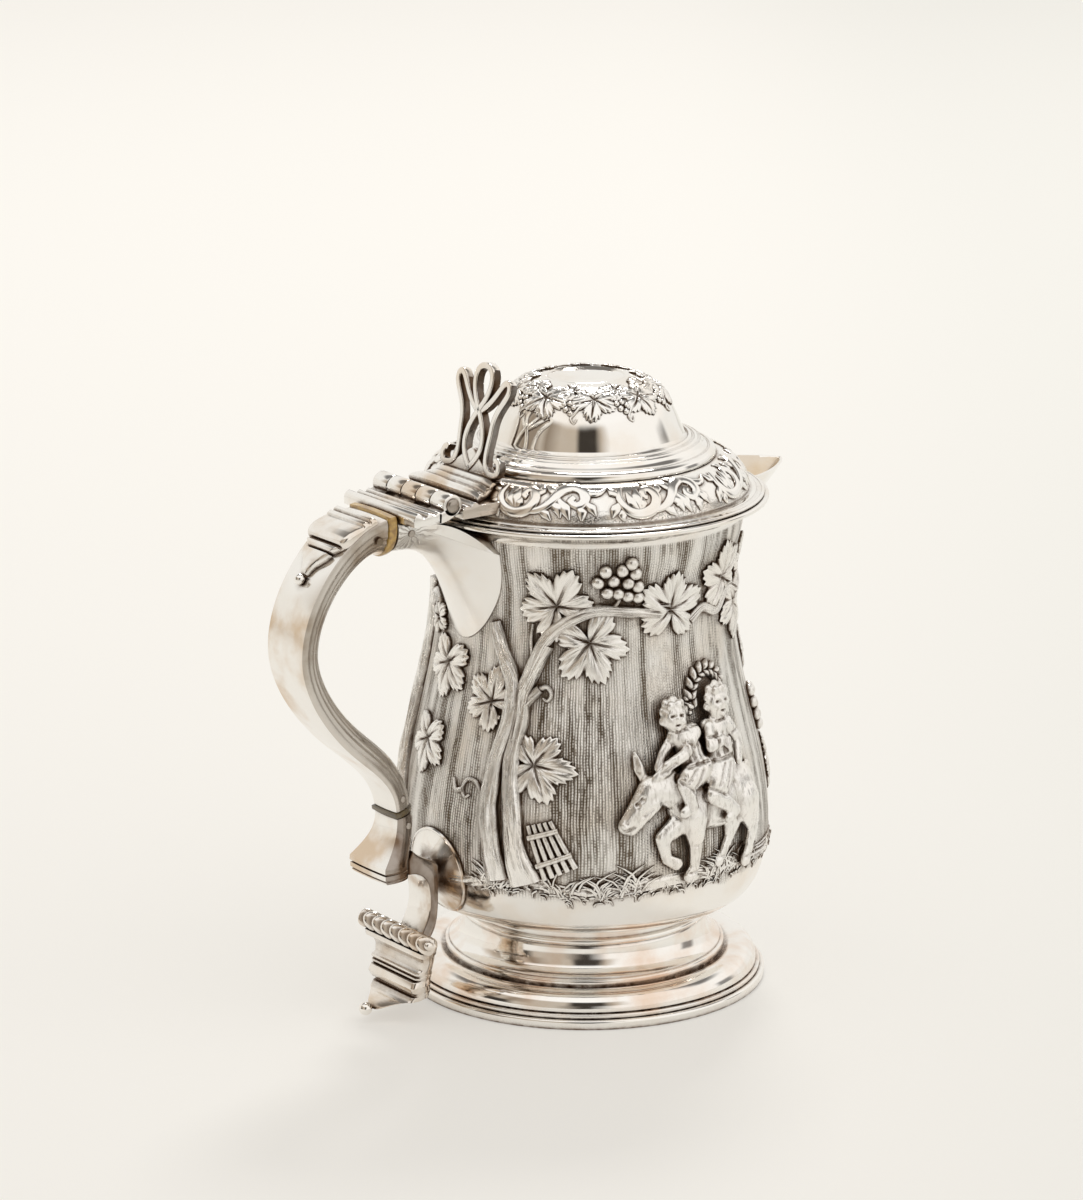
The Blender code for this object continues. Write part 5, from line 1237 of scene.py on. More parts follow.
upper_collar = collar(grip[0] - grip_ways[0] * (COLLAR_THICKNESS + 0.3), grip_ways[0], GRIP_WIDTHS[0] / 2,
                      GRIP_DEPTHS[0], COLLAR_THICKNESS)
finished("upper_collar", upper_collar, horn_finish("honey_horn", HORN_HONEY), "tankard", "upper_insulator",
         slot="insulator")
lower_collar = collar(grip[-1] + grip_ways[-1] * 0.3, grip_ways[-1], GRIP_WIDTHS[2] / 2, GRIP_DEPTHS[2],
                      COLLAR_THICKNESS * 0.6)
finished("lower_collar", lower_collar, horn_finish("dark_horn", HORN_DARK), "tankard", "lower_insulator",
         slot="insulator")


# The upper socket: cast with the shape of the handle at one end and spread into a shield at the other,
# which is filed to the cup's neck and soldered all round. Its edge is thin and softly bevelled.
SHIELD_HALF_WIDTH = 18.6
SHIELD_TOP = 160.4
SHIELD_TIP = 123.6
SHIELD_SHOULDER = 154.4
FAN_RAYS = 17.0
FAN_REACH = 14.0
SHIELD_FACE = 13
SHIELD_INSIDE = 39
SHIELD_RINGS = 24
leaf_bottom = span("handle_hinge_leaf")[0].z
cup_radii = [(height, radius) for radius, height in outer_line]


def cup_radius(height):
    """The cup's outer radius at a height, read off its line."""
    return read_off(cup_radii, max(height, cup_base))


def on_handle_side(y, height, standoff):
    """A point that stands off the cup below the handle."""
    radius = cup_radius(height) + standoff
    return (-math.sqrt(max(radius * radius - y * y, 1.0)), y, height)


def shield_outline():
    """The shield's edge as (across, height): a bowed top, square shoulders and a rounded tip."""
    edge = []
    for step in range(SHIELD_FACE):
        side = -1.0 + 2.0 * step / (SHIELD_FACE - 1)
        edge.append((SHIELD_HALF_WIDTH * side, SHIELD_TOP - (SHIELD_TOP - SHIELD_SHOULDER) * abs(side) ** 5))
    for step in range(1, SHIELD_INSIDE + 1):
        turn = math.pi * step / (SHIELD_INSIDE + 1)
        edge.append((SHIELD_HALF_WIDTH * math.cos(turn),
                     SHIELD_SHOULDER - (SHIELD_SHOULDER - SHIELD_TIP) * math.sin(turn) ** 1.3))
    return edge


socket_way = grip_ways[0]
socket_in = Vector((-socket_way.y, socket_way.x))
socket_start = grip[0] - socket_way * (COLLAR_THICKNESS + 0.6)
top_drop = max(socket_start.y - leaf_bottom + 0.3 + FACE_CROWN, 0.0)
socket_start = socket_start + socket_in * top_drop
socket_first = at_station(socket_start, socket_way, d_section(GRIP_WIDTHS[0] / 2, GRIP_DEPTHS[0] - top_drop))
shield_edge = shield_outline()
socket_rings = []
for step in range(SHIELD_RINGS + 1):
    share = (step / SHIELD_RINGS) ** 0.8
    ring = []
    for index, (begin, (y, z)) in enumerate(zip(socket_first, shield_edge)):
        climb = share ** (1.2 if index < SHIELD_FACE else 3.4)
        target = on_handle_side(y, z, 0.9 * (1.0 - share ** 8) + 0.35)
        ring.append((blend(begin[0], target[0], share), blend(begin[1], y, share ** 3.4),
                     blend(begin[2], z, climb)))
    socket_rings.append(ring)
for share in (1.0, 0.75, 0.5, 0.25, 0.03):
    socket_rings.append([on_handle_side(y * share, blend(SHIELD_SHOULDER - 8.0, z, share), -0.6)
                         for y, z in shield_edge])


def fanned(surface, centre):
    """Fine tracer cuts that fan out from a pin and fade away from it."""
    tree = surface.node_tree
    place = object_place(tree)
    pin = centre * MM + Vector((AXIS_X, 0.0, 0.0))
    x, y, z = parted(added(tree, "VectorMath", {0: place, 1: pin}, operation="SUBTRACT").outputs[0])
    turn = times(calc("ARCTAN2", z, x), FAN_RAYS)
    rays = calc("SINE", plus(turn, times(noise_at(place, 260.0, 3.0), 16.0)))
    distance = plus(calc("ABSOLUTE", x), calc("ABSOLUTE", z))
    fade = remapped(distance, 0.35 * FAN_REACH * MM, FAN_REACH * MM, 1.0, 0.0)
    cut = times(remapped(rays, 0.1, 0.9), fade)
    return tooled(surface, times(cut, 0.4), BROWN_TARNISH, cut, -0.3)


pin_low, pin_high = span("upper_socket_pin")
socket_silver = fanned(silver_finish("socket_silver", 0.3, 0.35, 2.6, 0.9), (pin_low + pin_high) / 2)
finished("upper_shield", skinned(socket_rings), socket_silver, "tankard", "upper_socket")


# The cap below the hinge: a small cast plate with two reeds and a turned-up lip, then a drop and a
# round bead, all soldered to the handle's flat face. Dirt has settled in the slit under the lip.
CAP_START = 3.6
CAP_LENGTH = 17.0
CAP_HEIGHT = 3.0
DROP_LENGTH = 8.5
BEAD_RADIUS = 1.8


def runs_of(line):
    """The distance along a line at each of its points."""
    marks = [0.0]
    for start, end in zip(line, line[1:]):
        marks.append(marks[-1] + math.dist(start, end))
    return marks


grip_run = runs_of(grip)


def station(distance):
    """A place on the handle's line, that far from the upper collar, and its direction there."""
    index = max(bisect.bisect_left(grip_run, distance), 1)
    share = (distance - grip_run[index - 1]) / (grip_run[index] - grip_run[index - 1])
    place = grip[index - 1].lerp(grip[index], share)
    return place, grip_ways[index - 1].lerp(grip_ways[index], share).normalized()


def applied(distance, half_width, height):
    """One section of a piece soldered on the handle's face: square foot, rounded shoulders."""
    place, along = station(distance)
    foot = -(FACE_CROWN - 0.25)
    shoulder = min(1.5, half_width * 0.5, height * 0.6)
    section = [(-half_width, foot), (half_width, foot)]
    for step in range(5):
        turn = math.pi / 2 * step / 4
        across = half_width - shoulder * (1 - math.cos(turn))
        section.append((across, foot - height + shoulder * (1 - math.sin(turn))))
    section += [(-across, depth) for across, depth in reversed(section[2:])]
    return at_station(place, along, section)


cap_plan = softened([
    (0, 0.1), (0, 0.5), (0.04, 0.72), (0.1, 0.72), (0.13, 0.42), (0.15, 0.42), (0.18, 0.72), (0.25, 0.72),
    (0.28, 0.5), (0.4, 0.72), (0.53, 0.92), (0.66, 1), (0.76, 0.9), (0.8, 0.7), (0.81, 0.2), (0.845, 0.2),
    (0.86, 0.62), (0.91, 0.72), (0.97, 0.6), (1, 0.4), (1, 0.1)], 0.03, 3)
cap_rings = []
for index, (share, height) in enumerate(cap_plan):
    half_width = GRIP_WIDTHS[0] / 2 * (0.99 - 0.42 * max(share - 0.6, 0.0) ** 2 / 0.16)
    spot = CAP_START + CAP_LENGTH * share + 0.001 * index
    cap_rings.append(applied(spot, half_width, CAP_HEIGHT * height + 0.25))
finished("handle_plate", skinned(cap_rings), worn_silver, "tankard", "handle_cap")


def bead(radius, place):
    """A small round bead at a place."""
    shape = bmesh.new()
    centre = Matrix.Translation(place)
    bmesh.ops.create_uvsphere(shape, u_segments=28, v_segments=18, radius=radius, matrix=centre)
    return shape


drop_start = CAP_START + CAP_LENGTH + 0.4
drop_plan = (
    (0, 0.3, 0.64), (0.03, 0.75, 0.64), (0.25, 0.8, 0.56), (0.45, 0.74, 0.42), (0.62, 0.64, 0.29),
    (0.8, 0.6, 0.21), (0.93, 0.55, 0.18), (1, 0.45, 0.15))
drop_rings = []
for share, height, width in drop_plan:
    spot = drop_start + DROP_LENGTH * share
    drop_rings.append(applied(spot, GRIP_WIDTHS[0] / 2 * width, CAP_HEIGHT * height + 0.25))
finished("handle_drop_leaf", skinned(drop_rings), worn_silver, "tankard", "handle_drop")
bead_place, bead_way = station(drop_start + DROP_LENGTH + BEAD_RADIUS + 0.2)
bead_centre = bead_place - Vector((-bead_way.y, bead_way.x)) * (BEAD_RADIUS * 0.78 + FACE_CROWN)
bead_shape = bead(BEAD_RADIUS, (bead_centre.x, 0.0, bead_centre.y))
finished("drop_bead", bead_shape, bright_silver, "tankard", "handle_bead")


# The lower socket: the handle's end cast as a flaring neck on a double-moulded ledge. A pin through
# each side of the collar holds it to the handle, flush and brown with old polish.
LEDGE_X = -87.0
LEDGE_HEIGHT = 54.4
LEDGE_HALF_WIDTH = 10.5
LEDGE_THICKNESS = 5.4
LEDGE_DEPTH = 12.2
PIN_BROWN = (0.22, 0.17, 0.12, 1.0)
FLANK_TARNISH_AND_SHADE = (0.17, 0.11, 0.07, 1.0)
DOWN = Vector((0.0, -1.0))
lower_top = grip[-1] + grip_ways[-1] * (COLLAR_THICKNESS * 0.6 + 0.6)
lower_rings = [at_station(lower_top, grip_ways[-1], d_section(GRIP_WIDTHS[2] / 2, GRIP_DEPTHS[2], 2.4))]
for step in range(1, 19):
    share = step / 18
    flare = 1.0 - math.cos(math.pi / 2 * share ** 1.15)
    place = Vector((blend(lower_top.x, LEDGE_X, flare), blend(lower_top.y, LEDGE_HEIGHT, share)))
    half_width = blend(GRIP_WIDTHS[2] / 2, LEDGE_HALF_WIDTH, flare)
    section = d_section(half_width, blend(GRIP_DEPTHS[2], LEDGE_DEPTH, flare), 3.0)
    lower_rings.append(at_station(place, DOWN, section))
ledge_plan = softened([
    (0, 0), (0.3, -0.1), (0.33, 0.9), (0.42, 0.9), (0.45, 0.1), (0.72, 0.1), (0.75, 0.9), (0.84, 0.9),
    (0.86, 0.5), (0.99, 0.9), (1, 2.2)], 0.05, 3)
for share, step in ledge_plan:
    place = Vector((LEDGE_X + step, LEDGE_HEIGHT - share * LEDGE_THICKNESS))
    section = d_section(LEDGE_HALF_WIDTH - step * 0.5, LEDGE_DEPTH - step, 3.0)
    lower_rings.append(at_station(place, DOWN, section))
ledge_piece = finished("lower_ledge", skinned(lower_rings), worn_silver, "tankard", "lower_socket")
# The side faces of the ledge and the bracket get a darker brown copy of the finish: brown tarnish and painted
# shade.
flank_tarnish_and_shade = silver_finish("flank_tarnish_and_shade", 0.14, 0.6, 3.5, 1.5, 0.96, FLANK_TARNISH_AND_SHADE, 0.7)
refinished(ledge_piece, flank_tarnish_and_shade, lambda face: abs(face.normal.y) > 0.7)
pin_silver = silver_finish("pin_silver", 0.24, 0.4, 1.6, 1.6, 0.95, PIN_BROWN, 0.7)


def rod(centre, radius, length, sides):
    """A round rod that lies across the handle."""
    shape = bmesh.new()
    turn = Matrix.Translation(centre) @ Matrix.Rotation(math.pi / 2, 4, "X")
    bmesh.ops.create_cone(shape, cap_ends=True, segments=sides, radius1=radius, radius2=radius, depth=length,
                          matrix=turn)
    return shape


def ends_rubbed(shape, offset):
    """Rub the edges of a shape's two flat ends round."""
    ends = [edge for edge in shape.edges if any(len(face.verts) > 4 for face in edge.link_faces)]
    bmesh.ops.bevel(shape, geom=ends, offset=offset, segments=3, affect="EDGES", profile=0.5, material=-1)
    return shape


for pin_node in ("upper_socket_pin", "handle_upper_pin", "handle_lower_pin", "lower_socket_pin"):
    low, high = span(pin_node)
    pin_shape = ends_rubbed(rod((low + high) / 2, (high.x - low.x) / 2, high.y - low.y, 28), 0.35)
    finished(pin_node + "_head", pin_shape, pin_silver, "tankard", pin_node, slot="pin_silver")


# The boss and its bracket: a hammered trumpet soldered to the belly, and a C-scroll of bar silver that
# ties the ledge above to the terminal below. Solder and handling have left both warm brown in places.
BOSS_HEIGHT = 46.5
BOSS_RADIUS = 14.5
BOSS_STANDOFF = 3.0
BOSS_STEM = 4.6
BOSS_BROWN = (0.5, 0.35, 0.22, 1.0)
BRACKET_WIDTH = 13.0
BRACKET_THICKNESS = 3.0
TERMINAL_TOP = 25.4
BOSS_STEPS = 48


def boss_ring(radius, standoff):
    """One ring of the boss, standing off the belly."""
    turns = [math.tau * step / BOSS_STEPS for step in range(BOSS_STEPS)]
    return [on_handle_side(radius * math.sin(turn), BOSS_HEIGHT + radius * math.cos(turn), standoff)
            for turn in turns]


boss_rings = [boss_ring(BOSS_RADIUS * share, -0.6) for share in (0.03, 0.25, 0.5, 0.75, 0.98)]
boss_edge = ((0.0, 0.3), (0.1, 0.8), (-0.2, 1.25), (-0.6, 1.3), (-0.9, 1.0))
boss_rings += [boss_ring(BOSS_RADIUS + grow, standoff) for grow, standoff in boss_edge]
for step in range(1, 13):
    share = step / 12
    boss_rings.append(boss_ring(blend(BOSS_RADIUS - 0.9, BOSS_STEM, math.sin(math.pi / 2 * share)),
                                0.9 + (BOSS_STANDOFF - 0.4) * share ** 2.4))
boss_face = -(cup_radius(BOSS_HEIGHT) + 0.5 + BOSS_STANDOFF)
boss_rings.append([(boss_face, y, z) for x, y, z in boss_ring(BOSS_STEM, 0.0)])
brown_silver = silver_finish("brown_silver", 0.12, 1.6, 4.5, 1.4, 0.95, BOSS_BROWN)
finished("belly_boss", skinned(boss_rings), brown_silver, "tankard", "cup_boss")

bracket_right = -(cup_radius(BOSS_HEIGHT) + BOSS_STANDOFF + 0.4)
bracket_left = LEDGE_X + LEDGE_DEPTH - 0.4
bracket_low = TERMINAL_TOP + 0.2
bracket_under = LEDGE_HEIGHT - 0.93 * LEDGE_THICKNESS
bracket_inside = bracket_right - BRACKET_THICKNESS
bracket_foot = bracket_right - 2.5 * BRACKET_THICKNESS
bracket_arm = BOSS_HEIGHT + 0.87 * BOSS_STEM
bracket_rise = LEDGE_HEIGHT + 2.7


def low_spot(share):
    """A height on the bracket, by its share of the way down from the ledge to the terminal."""
    return blend(bracket_under, bracket_low, share)


bracket_line = chained(
    (bracket_left, bracket_under),
    ((blend(bracket_left, bracket_inside, 0.75), bracket_under), (bracket_inside, low_spot(0.17)),
     (bracket_inside, low_spot(0.46)), 12),
    ((bracket_inside, low_spot(0.7)), (blend(bracket_foot, bracket_inside, 0.3), low_spot(0.8)),
     (bracket_foot, bracket_low), 12))
bracket_line += bezier((bracket_foot + 1.2 * BRACKET_THICKNESS, bracket_low),
                       (blend(bracket_right, bracket_foot, 0.15), low_spot(0.87)),
                       (bracket_right, low_spot(0.75)), (bracket_right, BOSS_HEIGHT - 1.3 * BOSS_STEM), 10)
bracket_line += bezier((bracket_right, bracket_arm),
                       (blend(bracket_right, bracket_left, 0.14), blend(bracket_arm, bracket_rise, 0.43)),
                       (blend(bracket_right, bracket_left, 0.55), blend(bracket_arm, bracket_rise, 0.4)),
                       (bracket_left + 1.7, bracket_rise), 10)
bracket_line += [(bracket_left, LEDGE_HEIGHT)]
bracket_shape = ends_rubbed(slab(bracket_line, -BRACKET_WIDTH / 2, BRACKET_WIDTH / 2), 0.6)
bracket = finished("c_bracket", bracket_shape, brown_silver, "tankard", "scroll_bracket")
# The bracket's side faces take the darker brown copy of the finish: brown tarnish and painted shade.
refinished(bracket, flank_tarnish_and_shade, lambda face: abs(face.normal.y) > 0.5)


# The terminal: a cast block of mouldings below a roped bar, drawn out at its foot to a bead. It is
# soldered under the bracket; its many steps keep dark lines of old polish.
TERMINAL_HALF_WIDTH = 17.0
TERMINAL_FRONT = -77.4
TERMINAL_HEIGHT = 21.0
TERMINAL_DEPTH = 9.4
TERMINAL_TIP = 8.4
ROPE_HALF_LENGTH = 20.0
ROPE_RADIUS = 3.0
ROPE_LOBES = 8
ROPE_STEPS = 144
ROPE_SIDES = 24
TIP_BEAD = 2.2
terminal_plan = softened([
    (0, 0), (1.7, -0.1), (1.9, 1.4), (4.2, 2.3), (6.6, 1.7), (7.4, 0.8), (7.6, 0), (8.3, 0), (8.5, 0.8),
    (9, 0.9), (9.2, 0.1), (10, 0.1), (10.3, 0.9), (10.6, -0.6), (12.6, -1.5), (14.6, -0.6), (15, 0.6),
    (15.8, 0.6), (16, -0.4), (16.8, -1), (17.5, -1.7)], 0.28, 3)
terminal_widths = (
    (0, 1), (1.7, 0.97), (2.2, 0.88), (6.6, 0.8), (9.2, 0.79), (10.3, 0.76), (12.6, 0.78), (15.4, 0.71),
    (17.5, 0.69))


def terminal_level(drop, face, tail, wide):
    """One level of the terminal: a flat front with soft corners, and a back that narrows."""
    z = TERMINAL_TOP - drop
    side = face + 0.4 * (tail - face)
    edge = 0.7
    half = [(face, wide - 2 * edge), (face + 0.3 * edge, wide - edge), (face + edge, wide - 0.3 * edge),
            (face + 2 * edge, wide), (side, wide), (blend(side, tail, 0.6), wide * 0.86), (tail, wide * 0.55)]
    other = [(x, -y) for x, y in reversed(half)]
    return [(x, y, z) for x, y in [other[-1], (face, 0.0)] + half + other[:-1]]


terminal_back = TERMINAL_FRONT + TERMINAL_DEPTH
terminal_rings = []
for index, (drop, step) in enumerate(terminal_plan):
    wide = TERMINAL_HALF_WIDTH * read_off(terminal_widths, drop)
    terminal_rings.append(terminal_level(drop + 0.0005 * index, TERMINAL_FRONT + step, terminal_back, wide))
for step in range(1, 9):
    share = step / 8
    face = TERMINAL_FRONT - blend(1.7, TERMINAL_TIP, math.sin(math.pi / 2 * share))
    tail = blend(terminal_back, TERMINAL_FRONT - 2.6, share ** 0.8)
    wide = TERMINAL_HALF_WIDTH * blend(0.69, 0.13, share ** 0.7)
    terminal_rings.append(terminal_level(blend(17.5, TERMINAL_HEIGHT, share), face, tail, wide))
terminal_silver = silver_finish("terminal_silver", 0.12, 0.9, 3.4, 2.4, 0.99, HAND_TARNISH, 0.2)
finished("moulded_terminal", skinned(terminal_rings), terminal_silver, "tankard", "handle_terminal")

rope_x = TERMINAL_FRONT + 0.6 * ROPE_RADIUS
rope_z = TERMINAL_TOP + 0.2 + 0.95 * ROPE_RADIUS
rope_rings = []
for step in range(ROPE_STEPS + 1):
    along = step / ROPE_STEPS
    close = min(1.0, (min(along, 1.0 - along) * 26.0) ** 0.5)
    ring = []
    for side in range(ROPE_SIDES):
        turn = math.tau * side / ROPE_SIDES
        lobe = abs(math.sin(math.pi * (along * ROPE_LOBES + 0.42 * math.cos(turn) - 0.3 * math.sin(turn))))
        size = ROPE_RADIUS * (0.5 + 0.54 * lobe ** 0.95) * (0.25 + 0.75 * close)
        ring.append((rope_x + size * math.cos(turn), blend(-ROPE_HALF_LENGTH, ROPE_HALF_LENGTH, along),
                     rope_z + max(size * math.sin(turn), -0.95 * ROPE_RADIUS)))
    rope_rings.append(ring)
finished("roped_bar", skinned(rope_rings), terminal_silver, "tankard", "terminal_gadroon")
tip_low, tip_high = span("terminal_bead")
finished("tip_bead", bead(TIP_BEAD, (tip_low + tip_high) / 2), bright_silver, "tankard", "terminal_bead")


# The lid: a brim and an ornamented band in one spun piece, a shoulder of turned steps with a plain
# dome, and a bezel that drops inside the rim. The joints between them hold a thread of tan tarnish.
BRIM_RADIUS = 58.3
BRIM_THICKNESS = 1.4
BAND_RADIUS = 53.3
BAND_TOP_RADIUS = 43.0
DOME_RADIUS = 32.4
DISC_RADIUS = 13.0
LID_WALL = 1.0
BEZEL_WALL = 1.2
STEP_RISE = 6.3
PUNCH_BROWN = (0.32, 0.26, 0.2, 1.0)
lid_seat = span("lid_flange")[0].z
band_top = span("lid_flange")[1].z
band_base = lid_seat + BRIM_THICKNESS
step_base = span("lid_dome")[0].z
dome_top = span("lid_dome")[1].z - 0.4
dome_base = step_base + STEP_RISE


def band_line(steps=18):
    """The lid's ornamented band, from its brim up to its shoulder."""
    return bezier((BAND_RADIUS, band_base),
                  (BAND_RADIUS - 0.6, blend(band_base, band_top, 0.45)),
                  (BAND_TOP_RADIUS + 5.5, blend(band_top, band_base, 0.11)),
                  (BAND_TOP_RADIUS, band_top), steps)


def dome_line(steps=24):
    """The dome from the shoulder up to the edge of its flat disc."""
    run = DOME_RADIUS - DISC_RADIUS
    return bezier((DOME_RADIUS, dome_base), (DOME_RADIUS - 0.2 * run, blend(dome_base, dome_top, 0.44)),
                  (DOME_RADIUS - 0.3 * run, blend(dome_top, dome_base, 0.08)), (DISC_RADIUS, dome_top), steps)


brim_line = softened([
    (BRIM_RADIUS, lid_seat), (BRIM_RADIUS, lid_seat + 0.5), (BRIM_RADIUS - 0.9, lid_seat + 0.8),
    (BRIM_RADIUS - 1.0, lid_seat + 0.55), (BRIM_RADIUS - 2.6, lid_seat + 0.8),
    (BRIM_RADIUS - 2.8, lid_seat + 1.25), (BAND_RADIUS + 0.5, lid_seat + 1.2),
    (BAND_RADIUS, band_base)], 0.3)
under_band = shifted(band_line(), LID_WALL)
under_band[0] = (BAND_RADIUS - 1.4, lid_seat)
flange_line = brim_line + band_line()[1:] + [(BAND_TOP_RADIUS - 2.6, band_top + 0.25),
                                            (BAND_TOP_RADIUS - 2.6, band_top - LID_WALL)]
flange_line += list(reversed(under_band))


def stippled_band():
    """The lid's band: polished above, matted with fine punch marks between the scrolls and the brim."""
    surface = silver_finish("stippled_band", 0.1, 0.35, 1.3, 2.2, 0.97)
    place = object_place(surface.node_tree)
    x, y, height = parted(place)
    edge = plus(height, times(noise_at(place, 150.0, 2.0), 0.004))
    low = remapped(edge, (band_base + 3.5) * MM, (band_base + 6.5) * MM, 1.0, 0.0)
    worked = times(low, remapped(height, (band_base + 0.1) * MM, (band_base + 0.6) * MM))
    punch = added(surface.node_tree, "TexVoronoi", {"Vector": place, "Scale": 2400.0})
    dots = remapped(punch.outputs["Distance"], 0.1, 0.5)
    shade = times(calc("SUBTRACT", 1.0, dots), times(worked, 0.6))
    return tooled(surface, shade, PUNCH_BROWN, times(dots, worked), 0.25, 0.7)


finished("lid_band", spun(flange_line), stippled_band(), "lid", "lid_flange")

shoulder = BAND_TOP_RADIUS - 0.6
step_plan = (
    (0, 0), (0, 0.1), (0.03, 0.28), (0.1, 0.36), (0.2, 0.42), (0.22, 0.36), (0.27, 0.36), (0.3, 0.46),
    (0.42, 0.58), (0.5, 0.78), (0.53, 0.72), (0.58, 0.74), (0.62, 0.86), (0.7, 0.88), (0.72, 0.82),
    (0.78, 0.84), (0.82, 0.98), (0.9, 1), (0.93, 0.94))
step_points = [(blend(shoulder, DOME_RADIUS, inward), step_base + up * STEP_RISE) for inward, up in step_plan]
step_line = softened(step_points, 0.35)
outer_dome = dome_line()
disc_line = [(DISC_RADIUS - 0.6, dome_top - 0.35), (DISC_RADIUS - 1.2, dome_top - 0.1), (0.0, dome_top + 0.4)]
under_dome = shifted(outer_dome, LID_WALL)[1:-1]
dome_profile = step_line + outer_dome + disc_line + [(0.0, dome_top - LID_WALL)] + list(reversed(under_dome))
dome_profile += [(DOME_RADIUS - LID_WALL, dome_base - 0.8),
                 (blend(shoulder, DOME_RADIUS, 0.54), step_base + 1.9),
                 (blend(shoulder, DOME_RADIUS, 0.2), step_base)]
dome_silver = silver_finish("dome_silver", 0.065, 0.3, 2.0, 0.9)
finished("lid_cap", spun(dome_profile), dome_silver, "lid", "lid_dome")

bezel_low, bezel_high = span("lid_bezel")
bezel_line = softened([(bezel_high.x - BEZEL_WALL, bezel_high.z), (bezel_high.x - BEZEL_WALL, bezel_low.z),
                       (bezel_high.x, bezel_low.z), (bezel_high.x, bezel_high.z - 0.6)], 0.4)
bezel_silver = silver_finish("bezel_silver", 0.14, 0.5, 1.0, 0.4)
finished("lid_bezel_ring", spun(bezel_line), bezel_silver, "lid", "lid_bezel")


# The scrolls on the lid's band: leafy C-scrolls chased in low relief, eight times round, each tied to
# the next by a running stem. Fine punching below them makes the brim look darker than the dome.
SCROLL_UNITS = 8
SCROLL_UNIT_LENGTH = 45.0
SCROLL_START = -118.0
SCROLL_RISE = 1.1
SCROLL_BOLD = 1.45
SCROLL_CROWN = 0.5
SCROLL_STEMS = (
    (((4.6, 12.6), (3.8, 8.4), (6.4, 4.4), (11.2, 2.9), (15.9, 4.4), (17.9, 8.2), (16.2, 11.4),
     (13.6, 11.2), (13.2, 9), (14.6, 8.4)), (1, 2, 2.6, 2.2, 1.4), 1),
    (((14.4, 3.6), (19.6, 4.4), (23.8, 7.2), (27, 11.4), (31.6, 13.4), (35.6, 11.4), (36, 7.8), (33.2, 6.2),
     (30.9, 7.8), (32, 9.4)), (1.2, 2, 2.8, 2.4, 1.5), 1.1),
    (((35, 12.4), (38.6, 10.6), (41.8, 10.8), (44.6, 13)), (1, 1.9, 1.2, 0.5), 0.9),
    (((20, 4.2), (22.6, 3), (24.4, 1.2)), (1, 2, 0.4), 0.8),
    (((23.6, 7), (26.6, 5.2), (27.6, 2.2)), (1.2, 2.6, 0.5), 0.9),
    (((26.4, 8.4), (29.2, 5), (30.8, 1.6)), (1.2, 2.6, 0.5), 0.9),
    (((33.6, 6), (35.2, 3.8), (35, 1.4)), (1, 2.4, 0.5), 0.8),
    (((36.2, 7.4), (38.6, 5.4), (40, 3)), (1, 2.2, 0.4), 0.8),
    (((25, 9.4), (23.8, 11.8), (21.2, 13.2)), (1, 2.2, 0.5), 0.8),
    (((28.4, 12.6), (27.4, 14.4), (25, 15.2)), (1, 2, 0.4), 0.7),
    (((10.6, 4.4), (8.4, 7.2), (7.2, 10.6)), (1, 2.6, 0.8), 0.8),
    (((11, 4.4), (10.4, 8.2), (10.6, 11.8)), (1, 2.6, 0.8), 0.9),
    (((11.4, 4.4), (12.2, 6.4), (12.4, 8)), (1, 2, 0.7), 0.8),
    (((4.2, 6.8), (2, 5), (0.6, 2.2)), (1.2, 2.4, 0.4), 0.8),
    (((5, 4.6), (4.2, 2.8), (5, 1)), (1, 2, 0.4), 0.7),
    (((3.9, 9.8), (1.6, 10.8), (0.2, 13.2)), (1.2, 2.2, 0.4), 0.8),
    (((17.6, 9.2), (19.8, 11.2), (20, 14)), (1, 2, 0.4), 0.7),
    (((15.2, 12), (15.4, 13.8), (13.4, 15)), (1, 1.8, 0.4), 0.7))

outer_band = band_line()
on_band = wall_of(outer_band, runs_of(outer_band))
unit_degrees = 360.0 / SCROLL_UNITS
scroll_shapes = []
for unit in range(SCROLL_UNITS):
    for path, widths, rise in SCROLL_STEMS:
        points = [((unit + across / SCROLL_UNIT_LENGTH) * unit_degrees + SCROLL_START, climb)
                  for across, climb in path]
        bold_widths = [width * SCROLL_BOLD for width in widths]
        rises = (SCROLL_RISE * rise * 0.6, SCROLL_RISE * rise, SCROLL_RISE * rise * 0.5)
        scroll_shapes.append(stem(on_band, points, bold_widths, rises, 0.0, 8, 1.2, crown=SCROLL_CROWN))
scroll_silver = silver_finish("scroll_silver", 0.12, 0.3, 1.2, 1.9)
finished("lid_scrolls", gathered(scroll_shapes), scroll_silver, "lid")


# The garland on the dome: vine leaves, berries and curled shoots hanging from a twisted stem round the
# plain disc. It was chased from outside in low relief, so its outlines are fine dark cuts.
GARLAND_GROUPS = 9
GARLAND_LEAVES = (
    (0.0, 10.5, (170.0, 194.0), 8.2, 0.95, 40), (21.0, 6.6, (-62.0, 40.0), 5.6, 0.9, 60),
    (12.0, 7.4, (150.0, 150.0), 4.8, 0.8, 80))
GARLAND_SHOOT = ((26.0, 8.6), (29.0, 12.6), (25.6, 15.6), (23.0, 17.4), (25.6, 19.0), (27.4, 17.4))
GARLAND_BERRIES = ((17.0, 12.6), (21.4, 12.2), (19.0, 14.4), (24.6, 13.6), (22.6, 15.6))
on_dome = wall_of(outer_dome, runs_of(outer_dome))
garland_run = runs_of(outer_dome)[-1]
garland_shapes = []
vine_path = []
for index in range(GARLAND_GROUPS):
    turn = index * 360.0 / GARLAND_GROUPS
    for across, climb, tilts, length, rise, seed in GARLAND_LEAVES:
        garland_shapes.append(vine_leaf(on_dome, turn + across, garland_run - climb, tilts[index % 2], length,
                                        1.0, rise, index + seed))
    for across, climb in GARLAND_BERRIES:
        garland_shapes.append(grape(on_dome, turn + across, garland_run - climb, 1.0, 0.8))
    shoot = [(turn + across, garland_run - climb) for across, climb in GARLAND_SHOOT]
    garland_shapes.append(stem(on_dome, shoot, (1.2, 1.1, 0.9, 0.5), (0.8, 0.8, 0.5), 0.0, 6, 0.9))
    vine_path += [(turn, garland_run - 8.2), (turn + 20.0, garland_run - 9.4)]
vine_path.append((360.0, garland_run - 8.2))
